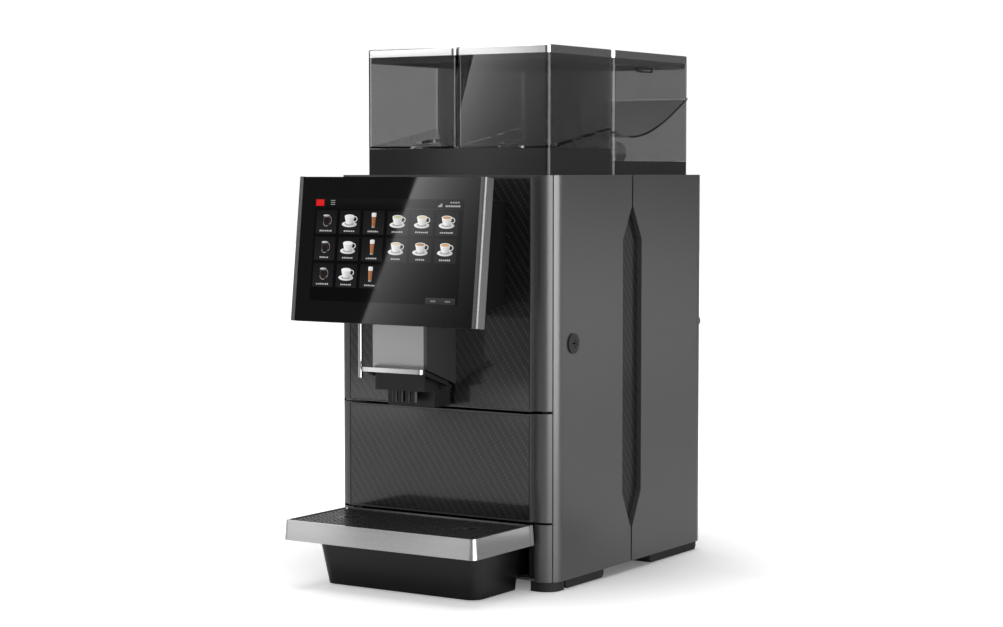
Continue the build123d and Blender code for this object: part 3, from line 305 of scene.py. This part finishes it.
def twoTone(tree, shader, mask, tone, look, rough):
    # below the mask the dark colour, above it the light one, uneven by spread; tone also shifts roughness
    light, spread = look["light"], look["spread"]
    light = blendColour(tree, tone, grey(light - spread), grey(light + spread))
    tree.links.new(blendColour(tree, mask, look["dark"], light), shader.inputs["Base Color"])
    tree.links.new(calc(tree, "MULTIPLY_ADD", tone, look["uneven"], rough), shader.inputs["Roughness"])


def lidFinish():
    # satin lid plate above its seating line, dark seal below it
    look = {"light": 0.74, "dark": grey(0.008), "spread": 0.04, "rough": 0.16, "uneven": 0.06}
    seam = 9.2 * mm
    made, tree, shader = material("lid_plate", grey(look["light"]), 1.0, look["rough"])
    spot = objectSpot(tree)
    above = pastMask(tree, spot, "Z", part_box("bean_lid_right")[1].z - seam)
    tree.links.new(above, shader.inputs["Metallic"])
    twoTone(tree, shader, above, mottle(tree, spot, 400.0), look, look["rough"] - look["uneven"] / 2)
    return made


def housingFinish():
    # display housing: satin rails at the sides, black moulding between them
    look = {"light": 0.22, "dark": grey(0.01), "spread": 0.03, "rough": 0.34, "uneven": 0.08, "metallic": 0.6}
    made, tree, shader = material("screen_frame", grey(look["light"]), look["metallic"], look["rough"])
    spot = objectSpot(tree)
    rail = besideMask(tree, spot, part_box("screen_glass")[1].x + 0.2 * mm)
    tree.links.new(calc(tree, "MULTIPLY", rail, look["metallic"]), shader.inputs["Metallic"])
    twoTone(tree, shader, rail, mottle(tree, spot, 500.0), look, look["rough"] - look["uneven"] / 2)
    return made


def handleFinish():
    # chrome bar across the front; behind it the chrome legs are painted near-black and matt, a painted dark
    # reflection and shade
    look = {"light": 0.8, "dark": grey(0.015), "spread": 0.03, "rough": 0.09, "uneven": 0.03}
    shadedLegs = {"deep": 6.5 * mm, "rough": 0.35}
    made, tree, shader = material("handle_chrome", grey(look["light"]), 1.0, look["rough"])
    spot = objectSpot(tree)
    # painted shade and dark reflection: everything behind the front bar is coloured near-black, not chrome
    front = pastMask(tree, spot, "Y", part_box("spout_handle")[0].y + shadedLegs["deep"], "LESS_THAN")
    tree.links.new(front, shader.inputs["Metallic"])
    rough = calc(tree, "MULTIPLY_ADD", front, look["rough"] - shadedLegs["rough"], shadedLegs["rough"])
    twoTone(tree, shader, front, mottle(tree, spot, 120.0), look, rough)
    return made


def glassFinish():
    # polished black glass with the faintest unevenness
    look = {"film": 14.0, "low": 0.01, "spread": 0.03}
    made, tree, shader = material("screen_glass", grey(0.004), 0.0, 0.03, IOR=1.52)
    film = mottle(tree, objectSpot(tree), look["film"])
    matt = calc(tree, "MULTIPLY_ADD", film, look["spread"], look["low"])
    tree.links.new(matt, shader.inputs["Roughness"])
    return made


def circuitFinish():
    # green board with lighter tracks on a square pitch
    look = {"board": (0.01, 0.08, 0.03, 1.0), "track": (0.05, 0.2, 0.09, 1.0), "pitch": 160.0, "gap": 0.06}
    made, tree, shader = material("circuit_board", look["board"], 0.0, 0.45)
    layout = {"Vector": objectSpot(tree), "Scale": look["pitch"], "Mortar Size": look["gap"]}
    tracks = place(tree, "ShaderNodeTexBrick", layout)
    colour = blendColour(tree, tracks.outputs["Fac"], look["board"], look["track"])
    tree.links.new(colour, shader.inputs["Base Color"])
    return made


finishes = {
    "satin": metal("satin_grey", grey(0.14), 0.32, metallic=0.65, fine=1100.0, relief=0.08),
    "steel": metal("zinc_sheet", grey(0.42), 0.42, spread=0.16, roughSpread=0.08, fine=60.0),
    "black": plastic("black_moulded", grey(0.013), 0.38),
    "basin": plastic("basin_black", grey(0.004), 0.3, fine=900.0, relief=0.12),
    # painted shade: the screen bracket gets a darker, duller black than the other mouldings, for the shadow
    # under the display
    "shade": plastic("painted_shade_black", grey(0.002), 0.6, Specular_IOR_Level=0.12),
    "rubber": plastic("foot_rubber", grey(0.014), 0.8, fine=700.0, relief=0.5),
    "chrome": metal(
        "polished_chrome", grey(0.92), 0.06, metallic=1.0, spread=0.02, roughSpread=0.02, relief=0.01
    ),
    "lock": metal("lock_dark", grey(0.035), 0.32, metallic=0.7),
    "rim": metal("rim_steel", grey(0.62), 0.12, spread=0.04, fine=260.0, across=0.04, along=4.0, relief=0.03),
    "grid": metal("grid_black", grey(0.035), 0.34, metallic=0.3, spread=0.2, relief=0.2),
    "cover": metal("cover_dark", grey(0.14), 0.3, metallic=0.75),
    "plate": metal("plate_satin", grey(0.68), 0.3, fine=300.0, across=0.05, along=3.0, relief=0.03),
    "works": plastic("works_grey", grey(0.07), 0.5),
    "worksMetal": metal("works_metal", grey(0.5), 0.3, spread=0.08, fine=500.0),
    "seat": plastic("seat_dark", grey(0.035), 0.14, fine=900.0, relief=0.08),
    "carbon": carbonSkin("carbon_skin", 0.95, 0.5),
    "carbonSide": carbonSkin("carbon_side", 0.15, 0.25),
    # 0.33 is the painted shade tint of the hoppers' outer side walls
    "smoked": smokedPlastic("smoked_clear", 0.5, 0.33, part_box("bean_hopper_right")[1].x),
    "smokedDeep": smokedPlastic("smoked_deep", 0.34, 0.34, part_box("powder_canister_right")[1].x),
    "handle": handleFinish(),
    "lid": lidFinish(),
    "housing": housingFinish(),
    "glass": glassFinish(),
    "circuit": circuitFinish(),
}

wearing = {
    "satin": "door_frame drawer_front base_corners side_panel_right_front side_panel_right_rear "
    "side_panel_left_front side_panel_left_rear back_cover",
    "steel": "base_plate top_deck inner_frame hinge_arms brew_frame",
    "black": "tray_bay door_liner grounds_bin nozzle_block coffee_nozzles power_inlet power_switch fan_rotor",
    # the bracket's extra-dark black is painted shade
    "shade": "screen_bracket",
    "basin": "drip_tray_basin",
    "rubber": "foot_pads",
    "chrome": "hot_water_tube",
    "handle": "spout_handle",
    "lock": "lock_housing lock_barrel",
    "rim": "drip_tray_rim",
    "grid": "drip_grid",
    "cover": "spout_cover",
    "plate": "spout_face_plate",
    "works": "grinder_housings mixing_bowl auger_right auger_left whisk brew_piston pump",
    "worksMetal": "grinder_motors gear_motors boiler water_fittings grinder_burr_right grinder_burr_left",
    "seat": "hopper_seat",
    "carbon": "door_carbon_panel drawer_carbon_panel",
    "carbonSide": "side_inlays",
    "smoked": "bean_hopper_right bean_hopper_left",
    "smokedDeep": "powder_canister_right powder_canister_left",
    "lid": "bean_lid_right bean_lid_left powder_lid_right powder_lid_left",
    "housing": "screen_housing",
    "glass": "screen_glass",
    "circuit": "control_board",
}

for finish, names in wearing.items():
    for name in names.split():
        slots = nodes[name].material_slots
        if not slots:
            nodes[name].data.materials.append(finishes[finish])
        for slot in slots:
            slot.material = finishes[finish]
covered = {name for names in wearing.values() for name in names.split()}
print("finishes:", len(finishes), "uncovered nodes:", sorted(set(nodes) - covered))

# the menu picture on the display

menu = {
    "lean": 6.68,  # degrees that the glass leans back
    "glassThick": 2.0,
    "lit": (-100.8, 99.8, 23.4, 127.0),  # left, right, low, high on the glass, millimetres
    "tile": (28.2, 26.4),
    "pitch": (32.7, 29.9),
    "first": (-98.2, 98.8),  # lower left corner of the first tile
    "rows": (6, 6, 3),  # tiles in each row
    "bright": 1.0,
    "gap": 0.05,  # from the glass to the lowest layer
    "layerStep": 0.02,  # each layer is in front of the one before
}
white = np.array([0.9, 0.9, 0.88])
shade = np.array([0.3, 0.3, 0.31])
layers = []
lean = math.radians(menu["lean"])
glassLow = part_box("screen_glass")[0]
glassFoot = (glassLow.y, glassLow.z + menu["glassThick"] * mm * math.sin(lean))


def layer(across, up, colour, lift):
    # adds a grid on the glass: point = foot + up (0, sin l, cos l) - off (0, cos l, -sin l), l the lean.
    off = menu["gap"] + lift * menu["layerStep"]
    y = glassFoot[0] + (up * math.sin(lean) - off * math.cos(lean)) * mm
    z = glassFoot[1] + (up * math.cos(lean) + off * math.sin(lean)) * mm
    points = np.stack([across * mm, y, z], -1).reshape(-1, 3)
    paint = np.broadcast_to(colour, across.shape + (3,)).reshape(-1, 3)
    layers.append((points, gridFaces(*across.shape), paint))


def panel(x0, x1, y0, y1, low, high, lift):
    # a rectangle whose colour runs from low at its foot to high at its head
    across, up = np.meshgrid(np.linspace(x0, x1, 2), np.linspace(y0, y1, 5))
    share = ((up - y0) / (y1 - y0))[..., None]
    layer(across, up, np.asarray(low) * (1 - share) + np.asarray(high) * share, lift)


def disc(x, y, rx, ry, left, right, lift, turns=28):
    # ellipse: x + s rx cos t, y + s ry sin t, s from 0.02 to 1; colour by side.
    s, t = np.meshgrid([0.02, 0.5, 1.0], np.linspace(0, 2 * math.pi, turns), indexing="ij")
    share = (0.5 + 0.5 * s * np.cos(t))[..., None]
    paint = np.asarray(left) * (1 - share) + np.asarray(right) * share
    layer(x + s * rx * np.cos(-t), y + s * ry * np.sin(-t), paint, lift)


def loop(x, y, rx, ry, thick, colour, lift, start=0.0, end=2 * math.pi):
    # ring: radius from 1 to 1 + thick / rx, angle from start to end.
    s, t = np.meshgrid([1.0, 1.0 + thick / rx], np.linspace(end, start, 24), indexing="ij")
    layer(x + s * rx * np.cos(t), y + s * ry * np.sin(t), colour, lift)


def vessel(x, y0, y1, w0, w1, power, left, right, lift):
    # filled outline: half width w0 + (w1 - w0) q^power at height y0 + q (y1 - y0).
    s, q = np.meshgrid(np.linspace(-1, 1, 9), np.linspace(0, 1, 9))
    half = w0 + (w1 - w0) * q**power
    share = (0.5 + 0.5 * s)[..., None]
    paint = np.asarray(left) * (1 - share) + np.asarray(right) * share
    layer(x + s * half, y0 + q * (y1 - y0), paint, lift)


def cupAndSaucer(x, y, drink):
    disc(x - 0.6, y - 4.4, 10.2, 3.3, white * 0.95, shade * 1.6, 3)
    disc(x - 0.6, y - 4.1, 6.6, 1.8, shade * 1.3, shade, 4)
    loop(x + 6.6, y + 1.4, 2.6, 2.3, 1.0, white * 0.8, 4)
    vessel(x - 0.6, y - 4.4, y + 4.4, 3.0, 6.8, 0.55, white, shade * 1.5, 5)
    disc(x - 0.6, y + 4.4, 6.8, 2.1, white, white * 0.8, 6)
    disc(x - 0.6, y + 4.3, 5.8, 1.55, drink, np.asarray(drink) * 0.8, 7)


def latteGlass(x, y, drink):
    vessel(x, y - 8.0, y - 5.6, 2.0, 2.3, 1.0, white * 0.5, shade * 0.5, 4)
    vessel(x, y - 6.4, y + 4.6, 2.1, 2.9, 1.0, np.asarray(drink) * 1.3, np.asarray(drink) * 0.6, 5)
    vessel(x, y + 4.2, y + 8.0, 2.9, 3.1, 1.0, white, shade * 2.0, 6)
    disc(x, y + 8.0, 3.1, 0.8, white, white * 0.7, 7)


def glassMug(x, y, drink):
    loop(x + 4.6, y - 0.4, 2.0, 3.6, 0.5, shade * 0.9, 3)
    vessel(x, y - 6.6, y + 5.0, 3.6, 4.6, 0.5, shade * 0.22, shade * 0.12, 4)
    vessel(x, y - 5.6, y + 2.6, 3.0, 4.0, 0.5, drink, np.asarray(drink) * 0.5, 5)
    disc(x, y + 5.0, 4.6, 1.1, white * 0.75, shade, 6)
    loop(x, y - 0.6, 4.4, 6.2, 0.35, white * 0.45, 6, math.radians(200), math.radians(300))


cream = np.array([0.72, 0.62, 0.42])
coffee = np.array([0.5, 0.27, 0.12])
drinks = [
    (glassMug, (0.02, 0.012, 0.01)),
    (cupAndSaucer, white * 0.9),
    (latteGlass, (0.32, 0.13, 0.06)),
    (cupAndSaucer, (0.55, 0.62, 0.36)),
    (cupAndSaucer, cream),
    (cupAndSaucer, coffee * 1.2),
]


def menuPicture():
    left, right, low, high = menu["lit"]
    chance = np.random.default_rng(7)
    panel(left, right, low, high, (0.0,) * 3, (0.0,) * 3, 0)
    panel(left, right, high + 0.8, high + 11.5, (0.0015,) * 3, (0.006,) * 3, 0)
    panel(left + 0.8, left + 12.0, high + 3.0, high + 10.2, (0.75, 0.01, 0.01), (0.6, 0.02, 0.015), 1)
    for line in range(3):
        y = high + 4.2 + line * 2.2
        panel(-79.5, -73.5, y, y + 0.9, white * 0.3, white * 0.3, 1)
    for bar in range(4):
        x = 66.0 + bar * 1.5
        panel(x, x + 0.9, high + 3.0, high + 4.2 + bar * 0.9, white * 0.6, white * 0.6, 1)
    for block in range(9):
        x = 76.0 + block * 2.2
        panel(x, x + 1.5, high + 3.0, high + 4.9, white * 0.5, white * 0.5, 1)
    for block in range(4):
        x = 82.0 + block * 3.2
        panel(x, x + 2.2, high + 7.0, high + 8.8, white * 0.35, white * 0.35, 1)
    wide, tall = menu["tile"]
    for row, count in enumerate(menu["rows"]):
        for column in range(count):
            x0 = menu["first"][0] + column * menu["pitch"][0]
            y0 = menu["first"][1] - row * menu["pitch"][1]
            panel(x0, x0 + wide, y0, y0 + tall, (0.013,) * 3, (0.006,) * 3, 1)
            draw, drink = drinks[column]
            tint = np.asarray(drink) * (1.0 if row == 0 else 1.15)
            if column > 2 and row == 1:
                tint = (cream, coffee, coffee * 1.35)[column - 3]
            draw(x0 + wide / 2, y0 + 15.3, tint)
            blocks = int(chance.integers(5, 8))
            start = x0 + wide / 2 - blocks * 1.25
            for block in range(blocks):
                tallBlock = 1.3 + 0.5 * chance.random()
                x = start + block * 2.5
                panel(x, x + 1.7, y0 + 2.4, y0 + 2.4 + tallBlock, white * 0.55, white * 0.55, 2)
    panel(57.0, 96.0, low + 0.6, low + 7.6, (0.02,) * 3, (0.035,) * 3, 1)
    for x in (64.0, 83.0):
        for block in range(3):
            start = x + block * 2.4
            panel(start, start + 1.6, low + 3.0, low + 4.9, white * 0.25, white * 0.25, 2)
    lit = {"IOR": 1.42, "Emission_Strength": menu["bright"]}
    made, tree, shader = material("menu_picture", grey(0.0005), 0.0, 0.03, **lit)
    paint = place(tree, "ShaderNodeAttribute", attribute_name="paint")
    tree.links.new(paint.outputs["Color"], shader.inputs["Emission Color"])
    points, faces = joined(layers)
    colours = np.concatenate([part[2] for part in layers])
    return meshPiece("menu_picture", points, faces, made, "door", colours)


menuPicture()
print("menu picture:", len(layers), "layers")

# canister catches

catch = {"half": (18.5, 3.2), "bar": 2.0, "height": 593.0, "depth": 67.0, "proud": 1.4, "squareness": 0.3}


def ringBar(centre, halfWide, halfTall, bar, proud, side):
    # a square bar carried round a rounded rectangle in Y and Z:
    # (a sgn(cos t) |cos t|^k, b sgn(sin t) |sin t|^k), k the squareness.
    t = np.linspace(0, 2 * math.pi, 49)[:-1]
    power = catch["squareness"]
    py = halfWide * np.sign(np.cos(t)) * np.abs(np.cos(t)) ** power
    pz = halfTall * np.sign(np.sin(t)) * np.abs(np.sin(t)) ** power
    section = [(0.0, 0.0), (0.0, 1.0), (1.0, 1.0), (1.0, 0.0)]  # how far in from the edge, how far proud
    rings = [
        np.stack(
            [
                np.full_like(t, centre[0] + side * deep * proud),
                centre[1] + py * (1 - bar * edge / halfWide),
                centre[2] + pz * (1 - bar * edge / halfTall),
            ],
            -1,
        )
        for edge, deep in section
    ]
    rings.append(rings[0])
    stack = np.stack(rings)
    stack = np.concatenate([stack, stack[:, :1]], 1) * mm
    faces = gridFaces(*stack.shape[:2])
    return stack.reshape(-1, 3), faces if side > 0 else faces[:, ::-1]


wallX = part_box("powder_canister_right")[1].x / mm
catches = []
for side in (1, -1):
    centre = (side * wallX, catch["depth"], catch["height"])
    catches.append(ringBar(centre, *catch["half"], catch["bar"], catch["proud"], side))
points, faces = joined(catches)
meshPiece("canister_catches", points, faces, finishes["black"], "chassis")

# rear cover screws

screw = {"radius": 3.2, "high": 1.7, "inset": 7.0, "end": 12.0, "rows": 5}
headProfile = [[1.0, 0.0], [1.0, 0.45], [0.85, 0.85], [0.55, 1.0], [0.5, 1.0], [0.42, 0.45], [0.02, 0.4]]


def turnedHead(x, z, face):
    # pan head turned about Y: radius and reach are shares from the profile; a socket sinks in the middle.
    profile = np.array(headProfile)
    t = np.linspace(0, 2 * math.pi, 25)
    r = profile[:, :1] * screw["radius"]
    y = face + profile[:, 1:] * screw["high"] + 0 * t
    points = np.stack([x + r * np.cos(t), y, z + r * np.sin(t)], -1) * mm
    return points.reshape(-1, 3), gridFaces(*points.shape[:2])


coverLow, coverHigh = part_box("back_cover")
face = coverHigh.y / mm
heads = [
    turnedHead(x, z, face)
    for x in (coverLow.x / mm + screw["inset"], coverHigh.x / mm - screw["inset"])
    for z in np.linspace(coverLow.z / mm + screw["end"], coverHigh.z / mm - screw["end"], screw["rows"])
]
points, faces = joined(heads)
meshPiece("cover_screws", points, faces, finishes["worksMetal"], "chassis", smooth=True)
print("catches and screws made")

# stage, lights and camera

studio = {
    "floor": 9.0,
    "lift": 1.0,  # glow that the camera sees on the floor away from the machine
    "near": 0.12,  # its share beside the machine; the dimmer floor there is painted shade round the machine's foot, on top of the real shadows
    "reach": (0.15, 0.55),  # where that glow starts to grow and is full
    "surround": 0.12,  # what gloss sees between the cards
    "fill": 0.3,  # what matt surfaces see
    "bright": 1.02,  # the world that the camera sees
}


def backdrop():
    made, tree, shader = material("pale_floor", grey(0.9), 0.0, 0.7)
    shader.inputs["Emission Color"].default_value = grey(1.0)
    spot = objectSpot(tree)
    colour = blendColour(tree, mottle(tree, spot, 3.0), grey(0.89), grey(0.91))
    tree.links.new(colour, shader.inputs["Base Color"])
    ray = place(tree, "ShaderNodeLightPath").outputs
    seen = calc(tree, "MAXIMUM", ray["Is Camera Ray"], ray["Is Transmission Ray"])
    far = place(tree, "ShaderNodeVectorMath", {0: spot}, operation="LENGTH").outputs["Value"]
    start, full = studio["reach"]
    ends = {"From Min": start, "From Max": full, "To Min": studio["near"], "To Max": studio["lift"]}
    # painted shade: the glow falls off towards the machine, darkening the floor round its foot
    lift = place(tree, "ShaderNodeMapRange", {"Value": far, **ends}).outputs[0]
    tree.links.new(calc(tree, "MULTIPLY", seen, lift), shader.inputs["Emission Strength"])
    line = np.linspace(-studio["floor"], studio["floor"], 9)
    across, along = np.meshgrid(line, line)
    points = np.stack([across, along, np.zeros_like(across)], -1).reshape(-1, 3)
    meshPiece("floor", points, gridFaces(9, 9), made, None)


def card(name, corners, strength, gloss=True, matt=True, grid=None):
    # a glowing card on a grid of corners, or on given points; strength is one number or one for each point
    if grid is None:
        a, b, c, d = (np.array(corner) for corner in corners)
        u, v = (t[..., None] for t in np.meshgrid(np.linspace(0, 1, 3), np.linspace(0, 1, 3)))
        grid = (1 - v) * ((1 - u) * a + u * b) + v * ((1 - u) * d + u * c)
    shine = np.broadcast_to(np.asarray(strength, float), grid.shape[:2]).reshape(-1, 1).repeat(3, 1)
    made = bpy.data.materials.new(name + "_glow")
    made.use_nodes = True
    tree = made.node_tree
    tree.nodes.clear()
    paint = place(tree, "ShaderNodeAttribute", attribute_name="paint")
    glow = place(tree, "ShaderNodeEmission", {"Color": paint.outputs["Color"]})
    place(tree, "ShaderNodeOutputMaterial", {"Surface": glow.outputs[0]})
    piece = meshPiece(name, grid.reshape(-1, 3), gridFaces(*grid.shape[:2]), made, None, colours=shine)
    piece.visible_camera = False
    piece.visible_transmission = False
    piece.visible_glossy = gloss
    piece.visible_diffuse = matt


key = {
    "edge": ([0.0, 0.495, 0.773, 1.5], [-1.04, -0.988, -0.906, -0.69]),  # left edge: heights, places
    "wide": 0.55,
    "y": -1.6,
    "low": 1.5,  # shine at the foot of the left edge
    "more": 2.2,  # what the head adds to it
    "rise": (0.45, 0.3),  # where that starts, and over how much height
    "fade": 0.17,  # share of the width over which shine falls to 1 / e
    "rest": 0.04,
}


def keyCard():
    # upright: x = edge(z) + wide u; shine = (low + more rise(z)) e^(-u / fade) + rest.
    u, z = np.meshgrid(np.linspace(0, 1, 30), np.linspace(0.0, 1.5, 40))
    x = np.interp(z, *key["edge"]) + key["wide"] * u
    rise = np.clip((z - key["rise"][0]) / key["rise"][1], 0, 1)
    shine = (key["low"] + key["more"] * rise) * np.exp(-u / key["fade"]) + key["rest"]
    card("key_card", None, shine, grid=np.stack([x, 0 * x + key["y"], z], -1))


def lowCard():
    # strip along the floor; its shine changes across it only.
    across, up = np.meshgrid(np.linspace(-1.4, -0.68, 73), [0.0, 0.07])
    shine = np.interp(across, [-1.4, -0.99, -0.982, -0.85, -0.7], [1.15, 1.15, 0.3, 0.45, 1.05])
    card("low_card", None, shine, matt=False, grid=np.stack([across, 0 * across - 1.59, up], -1))


def upright(name, start, end, low, high, strength, **seen):
    # a standing card between two places on the floor plan
    corners = [(*start, low), (*end, low), (*end, high), (*start, high)]
    card(name, corners, strength, **seen)


backdrop()
keyCard()
lowCard()
upright("lid_card", (-0.7, -0.6), (-0.12, -0.6), 0.637, 0.95, np.array([[2.1, 2.6, 0.3]] * 3), matt=False)
upright("flag_card", (0.24, 0.05), (0.6, 0.05), 0.0, 0.045, 0.25, matt=False)
upright("corner_card", (0.95, -1.3), (1.5, -0.7), 0.0, 1.3, 3.4, matt=False)
upright("right_card", (1.5, -0.7), (1.75, 0.35), 0.0, 1.1, 4.6, matt=False)
upright("side_card", (1.25, 2.4), (2.9, 1.6), 0.0, 0.36, 1.15)
upright("left_card", (-2.9, 1.6), (-1.1, 2.4), 0.0, 0.9, 1.0)
upright("back_card", (-0.9, 2.4), (0.5, 2.4), 0.0, 0.9, 0.5)
card("top_card", [(-0.9, -0.9, 1.9), (0.9, -0.9, 1.9), (0.9, 0.9, 1.9), (-0.9, 0.9, 1.9)], 2.6)
upright("soft_card", (-2.2, -0.9), (-0.9, -2.2), 0.1, 1.5, 1.6, gloss=False)

world = bpy.data.worlds.new("studio")
scene.world = world
world.use_nodes = True
sky = world.node_tree
sky.nodes.clear()
path = place(sky, "ShaderNodeLightPath").outputs
seen = calc(sky, "MAXIMUM", path["Is Camera Ray"], path["Is Transmission Ray"])
more = studio["fill"] - studio["surround"]
soft = calc(sky, "MULTIPLY_ADD", path["Is Diffuse Ray"], more, studio["surround"])
strength = calc(sky, "MAXIMUM", calc(sky, "MULTIPLY", seen, studio["bright"]), soft)
glow = place(sky, "ShaderNodeBackground", {"Color": grey(1.0), "Strength": strength})
place(sky, "ShaderNodeOutputWorld", {"Surface": glow.outputs[0]})

# lens and sensor in millimetres, place in metres, angles in degrees
view = {"lens": 79.81, "sensor": 36.0, "place": (1.4288, -2.2836, 0.4734), "azimuth": 32.662, "pitch": 3.694}
lens = bpy.data.cameras.new("camera")
lens.sensor_width = view["sensor"]
lens.sensor_fit = "HORIZONTAL"
lens.lens = view["lens"]
lens.clip_start = 0.01
camera = bpy.data.objects.new("camera", lens)
camera.location = view["place"]
camera.rotation_euler = (math.radians(90 - view["pitch"]), 0.0, math.radians(view["azimuth"]))
scene.collection.objects.link(camera)
scene.camera = camera
scene.view_settings.view_transform = "Standard"
scene.view_settings.look = "None"
scene.cycles.max_bounces = 20
scene.cycles.transmission_bounces = 20
scene.cycles.glossy_bounces = 6
scene.cycles.diffuse_bounces = 4
scene.cycles.use_denoising = True
print("studio ready")
